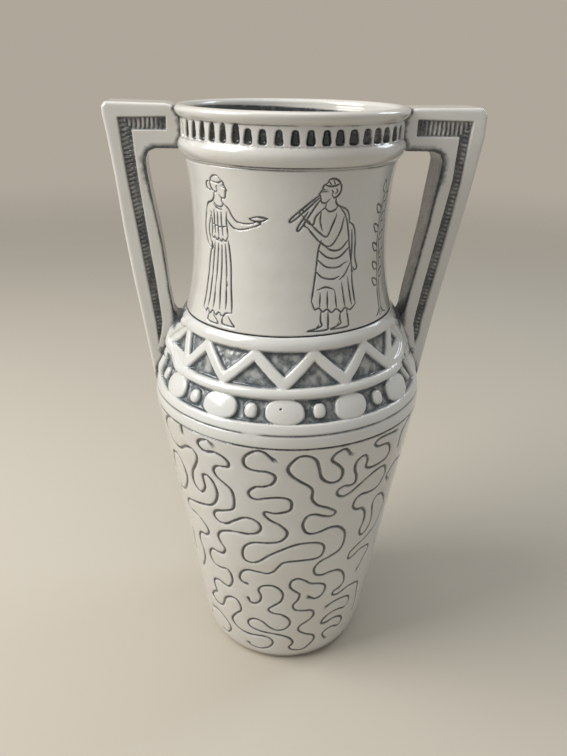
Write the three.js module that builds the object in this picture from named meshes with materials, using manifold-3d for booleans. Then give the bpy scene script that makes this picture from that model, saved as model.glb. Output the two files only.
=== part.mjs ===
// A tall two-handled stoneware vase, glazed cream over carved and stained ornament.
// Millimetres, +Z up. The origin is the middle of the foot, on the table.
// The vase faces -Y, and its two angular handles reach out along -X and +X.

import * as THREE from 'three';
import { mergeVertices } from 'three/addons/utils/BufferGeometryUtils.js';
import Module from 'manifold-3d';

const wasm = await Module();
wasm.setup();

// Heights of the thrown sections, from the table up
const BASE_HEIGHT = 7;
const BODY_HEIGHT = 138.8;
const NECK_HEIGHT = 68.1;

// Heights of the shoulder's bands, from the body up
const PLAIN_BAND_HEIGHT = 6.2;
const LOWER_ROLL_HEIGHT = 4.6;
const BEAD_BAND_HEIGHT = 9.2;
const MIDDLE_ROLL_HEIGHT = 4.5;
const ZIGZAG_BAND_HEIGHT = 14.4;
const UPPER_ROLL_HEIGHT = 6.0;

// Heights of the collar's bands, from the neck up
const COLLAR_ROLL_HEIGHT = 8.5;
const SLOT_BAND_HEIGHT = 9.6;
const LIP_HEIGHT = 3.1;

// Outside radii
const FOOT_RADIUS = 40.6;
const BASE_TOP_RADIUS = 43.4;
const BODY_WAIST_RADIUS = 54.8;
const SHOULDER_RADIUS = 65.6;
const NECK_FOOT_RADIUS = 49.0;
const NECK_WAIST_RADIUS = 44.5;
const NECK_TOP_RADIUS = 47.2;
const SLOT_BAND_RADIUS = 48.8;
const LIP_RADIUS = 51.1;
const MOUTH_RADIUS = 45.6;

// How far each band edge lies inside the shoulder's radius
const BEAD_FOOT_INSET = 2.2;
const BEAD_TOP_INSET = 7.2;
const ZIGZAG_FOOT_INSET = 8.4;
const ZIGZAG_TOP_INSET = 14.3;

// How far the rounded rolls stand out, and how deep the ground between them is carved
const SHOULDER_ROLL_SWELL = 1.3;
const COLLAR_ROLL_SWELL = 1.9;
const CARVING_DEPTH = 1.8;

// Walls
const BODY_WALL = 5.4;
const SHOULDER_WALL = 5.2;
const NECK_WALL = 4.6;
const FOOT_EDGE_ROUNDING = 1.6;

// Incised lines on the body
const LINE_WIDTH = 1.9;
const LINE_DEPTH = 0.95;
const LINE_STEPS_PER_POINT = 2;

// The wandering line's main runs across the front, repeated on the back. Each point is an angle
// round from the front and a height, chosen by hand where the line bends.
const WANDERING_RUNS = [
  [[-7, 140], [-14, 144], [-19, 139], [-17, 133.5], [-8, 132], [-7, 127], [-17, 121.5], [-14.5, 116],
    [-2, 118], [0, 111], [-10, 109], [-9, 104], [-1, 96], [-5, 90.3], [-20, 86.5], [-23, 76], [-15, 76],
    [1, 87.5], [15, 88], [17, 79.5], [6, 77.5], [-4, 74.5], [-11, 68], [-24, 67], [-26.5, 59.5]],
  [[24, 140], [18, 142.5], [16.5, 138], [21.5, 130], [17.5, 125.3], [12, 130], [7.5, 141.5], [0, 139],
    [0, 131.5], [8.5, 123.5], [9.5, 116.5], [20.5, 107.5], [16, 105], [8.5, 106.5], [7, 97], [19.5, 97],
    [28.5, 91], [27, 79.7], [15, 73.5], [15.5, 66], [28.7, 65], [35, 55], [28.5, 49], [40.8, 47.6],
    [50.5, 44], [54.2, 22]],
  [[-33, 142.5], [-39.5, 142], [-38.5, 137], [-28.5, 137.3], [-27, 131.5], [-34, 128.5], [-32.6, 124],
    [-26, 117.5], [-27, 106], [-37.5, 101], [-35.5, 95.4], [-22, 102.7], [-14, 100], [-18, 93.3],
    [-34, 89.5], [-37, 81], [-36, 74.5], [-46, 71.5], [-45.5, 62.5], [-35, 62.5], [-34, 51.5],
    [-45.5, 51], [-49.3, 43], [-55, 34]],
  [[-23.3, 47.2], [-19.3, 44.2], [-15.5, 52], [-9.3, 59.5], [-3, 55], [-4, 48], [-11.2, 41.2], [-1, 37],
    [2.2, 30], [-6, 25.3], [-20, 31.8], [-24.5, 25.5], [-2, 21], [4.7, 14.5], [5.3, 8.8], [16.5, 11],
    [18.5, 18.7], [8.5, 25], [16, 34], [13, 40], [4, 43], [7, 53], [1.8, 61], [8, 64], [20.5, 57.8],
    [20, 49.5], [12.7, 49.5]],
  [[49, 142.7], [38, 143.5], [38, 139], [46.5, 135], [43, 128], [34, 128.7], [33.5, 134], [30, 136.7],
    [27.5, 130], [28, 121.7], [21, 118.5], [27, 116.2], [42, 124.5], [48.5, 120], [41, 111.8],
    [31.5, 110.5], [32.5, 104], [40, 98], [39, 86], [45, 85], [45.5, 101], [52, 104], [57.5, 96],
    [54, 84], [36, 75], [38, 70.3], [51, 71.5], [50, 64], [45, 57]],
];

// Zigzag strip and beads: both are repeated on the front and on the back between the handles
const PANEL_HALF_ANGLE = 75;
const PANEL_TURN = -3.8;
const ZIGZAG_PITCH_ANGLE = 27.9;
const ZIGZAG_PEAKS = 6;
const ZIGZAG_STRIP_WIDTH = 4.6;
const BEAD_PITCH_ANGLE = 28.2;
const LARGE_BEADS = 5;
const LARGE_BEAD_WIDTH = 15.0;
const LARGE_BEAD_LENGTH = 10.4;
const SMALL_BEAD_WIDTH = 5.6;
const SMALL_BEAD_LENGTH = 6.6;
const BEAD_RISE = 2.1;

// Row of pressed slots under the lip
const SLOT_COUNT = 52;
const SLOT_WIDTH = 3.3;
const SLOT_LENGTH = 5.8;
const SLOT_DEPTH = 1.5;
const SLOT_FOOT_GAP = 0.5;
const SLOT_TURN = -0.8;

// Handles: a level bar from the collar, and a leg that leans in to the shoulder
const HANDLE_REACH = 80.8;
const HANDLE_FOOT_STANDOUT = 0.3;
const HANDLE_ROOT_DEPTH = 8.5;
const HANDLE_BAR_HEIGHT = 18.0;
const HANDLE_CORNER_HEIGHT = 12.0;
const HANDLE_LEG_WIDTH = 15.2;
const HANDLE_TOP_THICKNESS = 22.0;
const HANDLE_FOOT_THICKNESS = 14.0;
const HANDLE_EDGE_ROUNDING = 1.4;
const HANDLE_GAP_DEPTH = 5.0;
const CHANNEL_WIDTH = 4.6;
const CHANNEL_BORDER = 5.4;
const CHANNEL_DEPTH = 2.0;
const CHANNEL_TAIL_LENGTH = 11.0;
const CHANNEL_FOOT_HEIGHT = 14.0;
const SLIP_GAP = 0.3;

// Steps round the vase
const LATHE_STEPS = 48;

// Joint planes and band edges, added up from the heights above
const bodyFoot = BASE_HEIGHT;
const shoulderFoot = bodyFoot + BODY_HEIGHT;
const lowerRollFoot = shoulderFoot + PLAIN_BAND_HEIGHT;
const beadFoot = lowerRollFoot + LOWER_ROLL_HEIGHT;
const middleRollFoot = beadFoot + BEAD_BAND_HEIGHT;
const zigzagFoot = middleRollFoot + MIDDLE_ROLL_HEIGHT;
const upperRollFoot = zigzagFoot + ZIGZAG_BAND_HEIGHT;
const neckFoot = upperRollFoot + UPPER_ROLL_HEIGHT;
const collarFoot = neckFoot + NECK_HEIGHT;
const slotBandFoot = collarFoot + COLLAR_ROLL_HEIGHT;
const lipFoot = slotBandFoot + SLOT_BAND_HEIGHT;
const rimTop = lipFoot + LIP_HEIGHT;

// Band edge radii and the reach of the handles' feet, taken from the shoulder's radius
const beadFootRadius = SHOULDER_RADIUS - BEAD_FOOT_INSET;
const beadTopRadius = SHOULDER_RADIUS - BEAD_TOP_INSET;
const zigzagFootRadius = SHOULDER_RADIUS - ZIGZAG_FOOT_INSET;
const zigzagTopRadius = SHOULDER_RADIUS - ZIGZAG_TOP_INSET;
const handleFootReach = SHOULDER_RADIUS + HANDLE_FOOT_STANDOUT;

const radians = (degrees) => THREE.MathUtils.degToRad(degrees);

// The same cream glaze over every section, a little darker where more stain lies
function glaze(colour, roughness) {
  return new THREE.MeshStandardMaterial({ color: colour, roughness, metalness: 0 });
}

// Closed mesh to solid: only the positions are kept, shared corners are merged, faces turned out
function solidOf(geometry) {
  const bare = geometry.clone();
  bare.deleteAttribute('normal');
  bare.deleteAttribute('uv');
  const merged = mergeVertices(bare, 1e-4);
  const position = merged.getAttribute('position');
  const index = Array.from(merged.getIndex().array);
  const corner = (i) => new THREE.Vector3().fromBufferAttribute(position, i);
  const triangles = [];
  let volume = 0;
  for (let i = 0; i < index.length; i += 3) {
    const [a, b, c] = [index[i], index[i + 1], index[i + 2]];
    if (a === b || b === c || c === a) continue;
    triangles.push([a, b, c]);
    volume += corner(a).dot(corner(b).cross(corner(c)));
  }
  const triVerts = new Uint32Array(triangles.flatMap(([a, b, c]) => (volume > 0 ? [a, b, c] : [a, c, b])));
  const vertProperties = new Float32Array(position.array);
  return new wasm.Manifold(new wasm.Mesh({ numProp: 3, vertProperties, triVerts }));
}

function geometryOf(solid) {
  const mesh = solid.getMesh();
  const geometry = new THREE.BufferGeometry();
  geometry.setAttribute('position', new THREE.BufferAttribute(new Float32Array(mesh.vertProperties), 3));
  geometry.setIndex(new THREE.BufferAttribute(new Uint32Array(mesh.triVerts), 1));
  geometry.computeVertexNormals();
  return geometry;
}

// Profiles are lists of [radius, height]
function turned(profile) {
  const points = profile.map(([radius, height]) => new THREE.Vector2(radius, height));
  const geometry = new THREE.LatheGeometry(points, LATHE_STEPS);
  geometry.rotateX(Math.PI / 2);
  return solidOf(geometry);
}

function ring(outside, inside) {
  return turned([...outside, ...inside.slice().reverse(), outside[0]]);
}

// A half-round swelling between two heights on a sloping line
function roll(footRadius, footHeight, topRadius, topHeight, swell) {
  const points = [];
  const steps = 4;
  for (let i = 0; i <= steps; i += 1) {
    const t = i / steps;
    const radius = THREE.MathUtils.lerp(footRadius, topRadius, t) + swell * Math.sin(Math.PI * t);
    points.push([radius, THREE.MathUtils.lerp(footHeight, topHeight, t)]);
  }
  return points;
}

// Foot: a solid disc with a rounded lower edge, whose top is the floor of the vase
function makeFoot() {
  return turned([
    [0, 0],
    [FOOT_RADIUS - FOOT_EDGE_ROUNDING, 0],
    [FOOT_RADIUS - FOOT_EDGE_ROUNDING * 0.3, FOOT_EDGE_ROUNDING * 0.3],
    [FOOT_RADIUS, FOOT_EDGE_ROUNDING],
    [THREE.MathUtils.lerp(FOOT_RADIUS, BASE_TOP_RADIUS, 0.62), BASE_HEIGHT * 0.5],
    [BASE_TOP_RADIUS, BASE_HEIGHT],
    [0, BASE_HEIGHT],
  ]);
}

// Body: it widens almost straight from the foot, then rounds over under the shoulder
function bodyRadius(height) {
  const t = (height - bodyFoot) / BODY_HEIGHT;
  const straight = THREE.MathUtils.lerp(BASE_TOP_RADIUS, SHOULDER_RADIUS, t);
  const belly = BODY_WAIST_RADIUS - THREE.MathUtils.lerp(BASE_TOP_RADIUS, SHOULDER_RADIUS, 0.5);
  return straight + belly * Math.sin(Math.PI * t);
}

// Where a point given by an angle from the front and a height lies, so far out from the wall
function onBody(angle, height, out) {
  const radius = bodyRadius(height) + out;
  return new THREE.Vector3(radius * Math.sin(angle), -radius * Math.cos(angle), height);
}

// The space cut by a pointed tool drawn along one run of the wandering line
function incisedLine(run, face) {
  const flat = run.map(([angle, height]) => new THREE.Vector3(radians(angle + face) * BODY_WAIST_RADIUS, height, 0));
  const curve = new THREE.CatmullRomCurve3(flat, false, 'centripetal');
  const path = curve.getPoints((run.length - 1) * LINE_STEPS_PER_POINT);
  const corners = [];
  path.forEach((point, i) => {
    const before = path[Math.max(i - 1, 0)];
    const after = path[Math.min(i + 1, path.length - 1)];
    const along = after.clone().sub(before).normalize();
    for (const [side, out] of [[0, -LINE_DEPTH], [LINE_WIDTH, LINE_DEPTH], [-LINE_WIDTH, LINE_DEPTH]]) {
      const angle = (point.x - along.y * side) / BODY_WAIST_RADIUS;
      corners.push(onBody(angle, point.y + along.x * side, out));
    }
  });
  const triangles = [0, 1, 2];
  for (let i = 0; i + 1 < path.length; i += 1) {
    for (let k = 0; k < 3; k += 1) {
      const [a, b] = [3 * i + k, 3 * i + ((k + 1) % 3)];
      triangles.push(a, a + 3, b, b, a + 3, b + 3);
    }
  }
  const last = corners.length - 3;
  triangles.push(last, last + 2, last + 1);
  const geometry = new THREE.BufferGeometry().setFromPoints(corners);
  geometry.setIndex(triangles);
  return solidOf(geometry);
}

function makeBody() {
  const heights = [0, 0.5, 1].map((t) => bodyFoot + BODY_HEIGHT * t);
  const outside = heights.map((height) => [bodyRadius(height), height]);
  const inside = heights.map((height) => [bodyRadius(height) - BODY_WALL, height]);
  let body = ring(outside, inside);
  for (const face of [0, 180]) {
    for (const run of WANDERING_RUNS) body = body.subtract(incisedLine(run, face));
  }
  return body;
}

// Shoulder: plain band, roll, bead band, roll, zigzag band, roll
const shoulderCrest = [
  [SHOULDER_RADIUS, shoulderFoot],
  [SHOULDER_RADIUS + 0.1, shoulderFoot + PLAIN_BAND_HEIGHT * 0.5],
  [SHOULDER_RADIUS - 0.5, lowerRollFoot],
  ...roll(SHOULDER_RADIUS - 0.5, lowerRollFoot, beadFootRadius, beadFoot, 0.5).slice(1),
  [beadTopRadius, middleRollFoot],
  ...roll(beadTopRadius, middleRollFoot, zigzagFootRadius, zigzagFoot, SHOULDER_ROLL_SWELL).slice(1),
  [zigzagTopRadius, upperRollFoot],
  ...roll(zigzagTopRadius, upperRollFoot, NECK_FOOT_RADIUS, neckFoot, SHOULDER_ROLL_SWELL).slice(1),
];
const shoulderInside = [
  [SHOULDER_RADIUS - BODY_WALL, shoulderFoot],
  [beadFootRadius - CARVING_DEPTH - SHOULDER_WALL, beadFoot],
  [zigzagFootRadius - CARVING_DEPTH - SHOULDER_WALL, zigzagFoot],
  [zigzagTopRadius - CARVING_DEPTH - SHOULDER_WALL + 0.6, upperRollFoot],
  [NECK_FOOT_RADIUS - NECK_WALL, neckFoot],
];

function zigzagCrest(height) {
  return THREE.MathUtils.mapLinear(height, zigzagFoot, upperRollFoot, zigzagFootRadius, zigzagTopRadius);
}

function beadCrest(height) {
  return THREE.MathUtils.mapLinear(height, beadFoot, middleRollFoot, beadFootRadius, beadTopRadius);
}

// A wedge of space between two angles, measured from the front (-Y) towards +X
function wedge(fromAngle, toAngle) {
  const reach = SHOULDER_RADIUS * 2;
  const outline = new THREE.Shape([new THREE.Vector2(0, 0)]);
  const steps = 4;
  for (let i = 0; i <= steps; i += 1) {
    const angle = radians(THREE.MathUtils.lerp(fromAngle, toAngle, i / steps));
    outline.lineTo(reach * Math.sin(angle), -reach * Math.cos(angle));
  }
  outline.closePath();
  return solidOf(new THREE.ExtrudeGeometry(outline, { depth: rimTop, bevelEnabled: false }));
}

// The ground of one band, carved away down to a constant depth below its crest line
function carvedGround(crest, foot, top) {
  const outside = [[crest(foot) + CARVING_DEPTH * 3, foot], [crest(top) + CARVING_DEPTH * 3, top]];
  const inside = [[crest(foot) - CARVING_DEPTH, foot], [crest(top) - CARVING_DEPTH, top]];
  return ring(outside, inside);
}

// The raised zigzag: one bent strip, laid on the carved ground and curved round the shoulder
function zigzagStrip(middleAngle) {
  const meanRadius = (zigzagFootRadius + zigzagTopRadius) / 2;
  const alongAngle = (angle) => radians(angle) * meanRadius;
  const margin = ZIGZAG_STRIP_WIDTH * 0.28;
  const peak = upperRollFoot - margin * 0.4;
  const valley = zigzagFoot + margin;
  const corners = [];
  for (let i = 0; i < ZIGZAG_PEAKS * 2 - 1; i += 1) {
    const angle = (i / 2 - (ZIGZAG_PEAKS - 1) / 2) * ZIGZAG_PITCH_ANGLE;
    corners.push(new THREE.Vector2(alongAngle(angle), i % 2 ? valley : peak));
  }
  const path = [];
  const strokeSteps = 3;
  for (let i = 0; i + 1 < corners.length; i += 1) {
    for (let k = 0; k < strokeSteps; k += 1) path.push(corners[i].clone().lerp(corners[i + 1], k / strokeSteps));
  }
  path.push(corners[corners.length - 1]);
  const upper = [];
  const lower = [];
  path.forEach((point, i) => {
    const before = path[Math.max(i - 1, 0)];
    const after = path[Math.min(i + 1, path.length - 1)];
    const inward = point.clone().sub(before);
    const outward = after.clone().sub(point);
    if (i === 0) inward.copy(outward);
    if (i === path.length - 1) outward.copy(inward);
    inward.normalize();
    outward.normalize();
    const mitre = inward.clone().add(outward).normalize();
    const side = new THREE.Vector2(-mitre.y, mitre.x);
    const spread = ZIGZAG_STRIP_WIDTH / 2 / side.dot(new THREE.Vector2(-inward.y, inward.x));
    upper.push(point.clone().addScaledVector(side, spread));
    lower.push(point.clone().addScaledVector(side, -spread));
  });
  const outline = new THREE.Shape([...lower, ...upper.reverse()]);
  const sunk = CARVING_DEPTH * 0.5;
  const strip = new THREE.ExtrudeGeometry(outline, { depth: CARVING_DEPTH + sunk, bevelEnabled: false });
  const position = strip.getAttribute('position');
  for (let i = 0; i < position.count; i += 1) {
    const angle = position.getX(i) / meanRadius + radians(middleAngle);
    const height = position.getY(i);
    const radius = zigzagCrest(height) - CARVING_DEPTH - sunk + position.getZ(i);
    position.setXYZ(i, radius * Math.sin(angle), -radius * Math.cos(angle), height);
  }
  return solidOf(strip);
}

// A low oval dome lying on the slope of the bead band
function bead(angle, width, length, around, along) {
  const dome = new THREE.SphereGeometry(1, around, along);
  dome.scale(width / 2, BEAD_RISE, length / 2);
  const middle = (beadFoot + middleRollFoot) / 2;
  const slope = Math.atan2(beadFootRadius - beadTopRadius, BEAD_BAND_HEIGHT);
  dome.rotateX(-slope);
  dome.translate(0, -(beadCrest(middle) - CARVING_DEPTH), middle);
  dome.rotateZ(radians(angle));
  return solidOf(dome);
}

function makeShoulder() {
  let shoulder = ring(shoulderCrest, shoulderInside);
  for (const face of [0, 180]) {
    const middle = face + PANEL_TURN;
    const panel = wedge(middle - PANEL_HALF_ANGLE, middle + PANEL_HALF_ANGLE);
    shoulder = shoulder.subtract(carvedGround(zigzagCrest, zigzagFoot, upperRollFoot).intersect(panel));
    shoulder = shoulder.subtract(carvedGround(beadCrest, beadFoot, middleRollFoot).intersect(panel));
    shoulder = shoulder.add(zigzagStrip(middle));
    for (let i = 0; i < LARGE_BEADS; i += 1) {
      const angle = middle + (i - (LARGE_BEADS - 1) / 2) * BEAD_PITCH_ANGLE;
      shoulder = shoulder.add(bead(angle, LARGE_BEAD_WIDTH, LARGE_BEAD_LENGTH, 12, 7));
    }
    for (let i = 0; i <= LARGE_BEADS; i += 1) {
      const angle = middle + (i - LARGE_BEADS / 2) * BEAD_PITCH_ANGLE;
      shoulder = shoulder.add(bead(angle, SMALL_BEAD_WIDTH, SMALL_BEAD_LENGTH, 8, 5));
    }
  }
  return shoulder;
}

// Neck: a concave tube, narrowest a little above its middle
function neckRadius(height) {
  const t = (height - neckFoot) / NECK_HEIGHT;
  const waist = 0.56;
  const end = t < waist ? NECK_FOOT_RADIUS : NECK_TOP_RADIUS;
  const away = t < waist ? (waist - t) / waist : (t - waist) / (1 - waist);
  return NECK_WAIST_RADIUS + (end - NECK_WAIST_RADIUS) * away ** 2;
}

const neckLevels = [0, 0.1, 0.22, 0.38, 0.56, 0.74, 0.88, 1].map((t) => neckFoot + NECK_HEIGHT * t);
const neckOutside = neckLevels.map((height) => [neckRadius(height), height]);

function makeNeck() {
  return ring(neckOutside, neckOutside.map(([radius, height]) => [radius - NECK_WALL, height]));
}

// Collar: a roll, the band with the slots, and a rounded lip
const collarOutside = [
  ...roll(NECK_TOP_RADIUS, collarFoot, SLOT_BAND_RADIUS, slotBandFoot, COLLAR_ROLL_SWELL),
  [SLOT_BAND_RADIUS, lipFoot],
  [LIP_RADIUS - 0.5, lipFoot + LIP_HEIGHT * 0.2],
  [LIP_RADIUS, lipFoot + LIP_HEIGHT * 0.5],
  [LIP_RADIUS - 0.7, lipFoot + LIP_HEIGHT * 0.85],
  [LIP_RADIUS - 2.0, rimTop],
];
const collarInside = [
  [NECK_TOP_RADIUS - NECK_WALL, collarFoot],
  [MOUTH_RADIUS - 1.6, slotBandFoot],
  [MOUTH_RADIUS, lipFoot],
  [MOUTH_RADIUS + 0.5, rimTop - 0.6],
  [MOUTH_RADIUS + 1.6, rimTop],
];

function makeCollar() {
  let collar = ring(collarOutside, collarInside);
  const hiddenAngle = THREE.MathUtils.radToDeg(Math.asin(HANDLE_TOP_THICKNESS / 2 / SLOT_BAND_RADIUS)) + 2.5;
  for (let i = 0; i < SLOT_COUNT; i += 1) {
    const angle = SLOT_TURN + (360 / SLOT_COUNT) * i;
    const fromHandle = Math.abs((((angle + 90) % 180) + 180) % 180);
    if (Math.min(fromHandle, 180 - fromHandle) < hiddenAngle) continue;
    const slot = new THREE.SphereGeometry(1, 6, 5);
    slot.scale(SLOT_WIDTH / 2, SLOT_DEPTH, SLOT_LENGTH / 2);
    slot.translate(0, -SLOT_BAND_RADIUS, slotBandFoot + SLOT_FOOT_GAP + SLOT_LENGTH / 2);
    slot.rotateZ(radians(angle));
    collar = collar.subtract(solidOf(slot));
  }
  return collar;
}

// The handles are cut back to this much outside the vase, for the slip that joins them
function handleClearance() {
  const skin = [...shoulderCrest, ...neckOutside.slice(1), ...collarOutside.slice(1)];
  const grown = skin.map(([radius, height]) => [radius + SLIP_GAP, height]);
  return turned([[0, shoulderFoot], ...grown, [LIP_RADIUS - 2.0 + SLIP_GAP, rimTop + 1], [0, rimTop + 1]]);
}

// Outer edge of the leg: upright below the corner, then straight in to the shoulder
function handleEdge(height) {
  const corner = rimTop - HANDLE_CORNER_HEIGHT;
  const foot = beadFoot;
  if (height >= corner) return HANDLE_REACH;
  return THREE.MathUtils.mapLinear(height, corner, foot, HANDLE_REACH, handleFootReach);
}

function handleOutline() {
  const barFoot = rimTop - HANDLE_BAR_HEIGHT;
  const gapFoot = neckFoot - HANDLE_GAP_DEPTH;
  const corner = rimTop - HANDLE_CORNER_HEIGHT;
  const rootFoot = beadFoot + 1.4;
  const inner = (height) => handleEdge(height) - HANDLE_LEG_WIDTH;
  return new THREE.Shape([
    new THREE.Vector2(NECK_WAIST_RADIUS - 2, rimTop),
    new THREE.Vector2(HANDLE_REACH - 1.6, rimTop),
    new THREE.Vector2(HANDLE_REACH - 0.4, rimTop - 0.5),
    new THREE.Vector2(HANDLE_REACH, rimTop - 1.8),
    new THREE.Vector2(HANDLE_REACH, corner),
    new THREE.Vector2(handleEdge(rootFoot), rootFoot),
    new THREE.Vector2(handleEdge(rootFoot) - HANDLE_ROOT_DEPTH, rootFoot),
    new THREE.Vector2(Math.min(zigzagTopRadius, NECK_FOOT_RADIUS) - 3.7, gapFoot - 1.5),
    new THREE.Vector2(NECK_FOOT_RADIUS - 1, gapFoot),
    new THREE.Vector2(inner(gapFoot) - 1.3, gapFoot),
    new THREE.Vector2(inner(gapFoot + 2.6), gapFoot + 2.6),
    new THREE.Vector2(inner(barFoot - 3.2), barFoot - 3.2),
    new THREE.Vector2(inner(barFoot - 3.2) - 0.9, barFoot - 0.9),
    new THREE.Vector2(inner(barFoot - 3.2) - 3.2, barFoot),
    new THREE.Vector2(NECK_WAIST_RADIUS - 2, barFoot),
  ]);
}

function channelOutline() {
  const top = rimTop - CHANNEL_BORDER;
  const foot = zigzagFoot + CHANNEL_FOOT_HEIGHT;
  const outer = (height) => handleEdge(height) - CHANNEL_BORDER;
  const tip = foot - CHANNEL_TAIL_LENGTH;
  const narrow = CHANNEL_WIDTH * 0.72;
  return new THREE.Shape([
    new THREE.Vector2(LIP_RADIUS + 1.8, top),
    new THREE.Vector2(outer(top), top),
    new THREE.Vector2(outer(rimTop - HANDLE_CORNER_HEIGHT), rimTop - HANDLE_CORNER_HEIGHT),
    new THREE.Vector2(outer(foot), foot),
    new THREE.Vector2(outer(tip) - 0.4, tip),
    new THREE.Vector2(outer(foot) - narrow, foot),
    new THREE.Vector2(outer(top - CHANNEL_WIDTH) - CHANNEL_WIDTH, top - CHANNEL_WIDTH),
    new THREE.Vector2(LIP_RADIUS + 1.8, top - CHANNEL_WIDTH),
  ]);
}

// Upright slab: the outline stands in the X-Z plane and the thickness runs along Y,
// thinner towards the foot of the leg
function slab(outline, from, to, rounding) {
  const geometry = new THREE.ExtrudeGeometry(outline, {
    depth: to - from - rounding * 2,
    bevelEnabled: rounding > 0,
    bevelThickness: rounding,
    bevelSize: rounding,
    bevelOffset: -rounding,
    bevelSegments: 2,
  });
  geometry.translate(0, 0, from + rounding);
  geometry.rotateX(Math.PI / 2);
  const position = geometry.getAttribute('position');
  const thin = HANDLE_FOOT_THICKNESS / HANDLE_TOP_THICKNESS;
  for (let i = 0; i < position.count; i += 1) {
    const share = THREE.MathUtils.mapLinear(position.getZ(i), beadFoot, rimTop, thin, 1);
    position.setY(i, position.getY(i) * share);
  }
  return geometry;
}

function makeHandle(side, clearance) {
  const half = HANDLE_TOP_THICKNESS / 2;
  const place = (geometry) => (side > 0 ? geometry : geometry.scale(-1, 1, 1));
  let handle = solidOf(place(slab(handleOutline(), -half, half, HANDLE_EDGE_ROUNDING)));
  for (const [from, to] of [[half - CHANNEL_DEPTH, half + 2], [-half - 2, -half + CHANNEL_DEPTH]]) {
    handle = handle.subtract(solidOf(place(slab(channelOutline(), from, to, 0))));
  }
  return handle.subtract(clearance);
}

const clearance = handleClearance();
const pieces = [
  ['foot_base', makeFoot(), glaze(0xc9c4b6, 0.42)],
  ['body_wall', makeBody(), glaze(0xd9d7cc, 0.3)],
  ['shoulder_band', makeShoulder(), glaze(0xcfcfc8, 0.3)],
  ['neck_wall', makeNeck(), glaze(0xdbdad0, 0.3)],
  ['rim_collar', makeCollar(), glaze(0xd3d2c9, 0.3)],
  ['handle_left', makeHandle(-1, clearance), glaze(0xd5d1c5, 0.32)],
  ['handle_right', makeHandle(1, clearance), glaze(0xd5d1c5, 0.32)],
];

const vase = new THREE.Group();
vase.name = 'vase';
for (const [name, solid, material] of pieces) {
  const mesh = new THREE.Mesh(geometryOf(solid), material);
  mesh.name = name;
  vase.add(mesh);
}

export default vase;
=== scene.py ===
# %% [markdown]
# # A two-handled stoneware vase
# The real vase was thrown and joined in sections, carved and incised while the clay was leather hard,
# rubbed with a blue-grey stain and covered with a glossy cream glaze. What makes it look like itself
# is relief a millimetre deep: so almost every surface here is one sheet of mesh whose points follow
# the carved lines, lifted on to the turned outline and pressed in where the tool went.

import math

import bmesh
import bpy
import numpy as np
from mathutils import Matrix, Vector, kdtree, noise
from mathutils.geometry import delaunay_2d_cdt


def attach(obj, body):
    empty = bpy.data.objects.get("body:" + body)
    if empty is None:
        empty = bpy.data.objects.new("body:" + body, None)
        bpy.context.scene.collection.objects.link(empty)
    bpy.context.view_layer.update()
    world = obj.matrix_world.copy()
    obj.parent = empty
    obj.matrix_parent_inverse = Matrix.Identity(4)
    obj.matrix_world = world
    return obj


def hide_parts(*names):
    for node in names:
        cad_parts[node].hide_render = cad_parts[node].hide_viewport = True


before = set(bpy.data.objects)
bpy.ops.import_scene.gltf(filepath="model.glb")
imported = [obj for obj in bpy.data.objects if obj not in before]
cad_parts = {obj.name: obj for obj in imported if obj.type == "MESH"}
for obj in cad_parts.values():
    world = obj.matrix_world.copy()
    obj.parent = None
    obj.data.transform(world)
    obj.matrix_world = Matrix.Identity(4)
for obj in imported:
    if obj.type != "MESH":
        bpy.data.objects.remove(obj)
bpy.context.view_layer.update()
MM = 0.001
print("solids in the frame:", sorted(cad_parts))

# %% [markdown]
# ## The camera
# The photograph was taken from close by, a little above the rim and looking down, so the foot looks
# much smaller than the mouth. Distance, height and tilt come from the ellipses of the turned lines.

# %% Camera
CAMERA_DISTANCE = 321.0
CAMERA_HEIGHT = 297.1
CAMERA_TILT = 24.66
CAMERA_SWING = -0.33
CAMERA_ROLL = 0.94
VASE_TURN = 2.5
FOCAL_PIXELS = 692.2
PHOTO_HEIGHT = 756

camera_data = bpy.data.cameras.new("camera")
camera_data.sensor_fit = "VERTICAL"
camera_data.sensor_height = 36.0
camera_data.lens = 36.0 * FOCAL_PIXELS / PHOTO_HEIGHT
camera_data.clip_start = 0.01
camera = bpy.data.objects.new("camera", camera_data)
turn = math.radians(VASE_TURN)
place = Vector((-CAMERA_DISTANCE * math.sin(turn), -CAMERA_DISTANCE * math.cos(turn), CAMERA_HEIGHT)) * MM
aim = Matrix.Rotation(-turn - math.radians(CAMERA_SWING), 4, "Z")
aim = aim @ Matrix.Rotation(math.radians(90 - CAMERA_TILT), 4, "X")
aim = aim @ Matrix.Rotation(math.radians(CAMERA_ROLL), 4, "Z")
camera.matrix_world = Matrix.Translation(place) @ aim
bpy.context.scene.collection.objects.link(camera)
bpy.context.scene.camera = camera

# %% [markdown]
# ## Sizes
# All sizes are in millimetres and are the same as those of the solids: the joints between the
# sections lie on the turned lines at the top of the body, the foot of the neck and under the collar.

# %% Sizes of the sections
FOOT_LINE = 1.6
BODY_FOOT = 7.0
BODY_TOP = 145.8
LOWER_ROLL_FOOT = 152.0
BEAD_FOOT = 156.6
MIDDLE_ROLL_FOOT = 165.8
ZIGZAG_FOOT = 170.3
UPPER_ROLL_FOOT = 184.7
NECK_FOOT = 190.7
COLLAR_FOOT = 258.8
SLOT_BAND_FOOT = 267.3
RIM_TOP = 280.0
COLUMNS = 360


# %% [markdown]
# ## Curves and outlines
# A turned outline and an incised line are both drawn the same way: through a few given points, with a soft
# curve between them, and then evenly spaced. The outline is rubbed smooth a little, because a sponge and
# the glaze leave no sharp corner.

# %% Curve helpers
SPAN_STEPS = 12
RUB_STEP = 0.2
ROLL_STEPS = 12
ROLL_FULLNESS = 0.8


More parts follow.
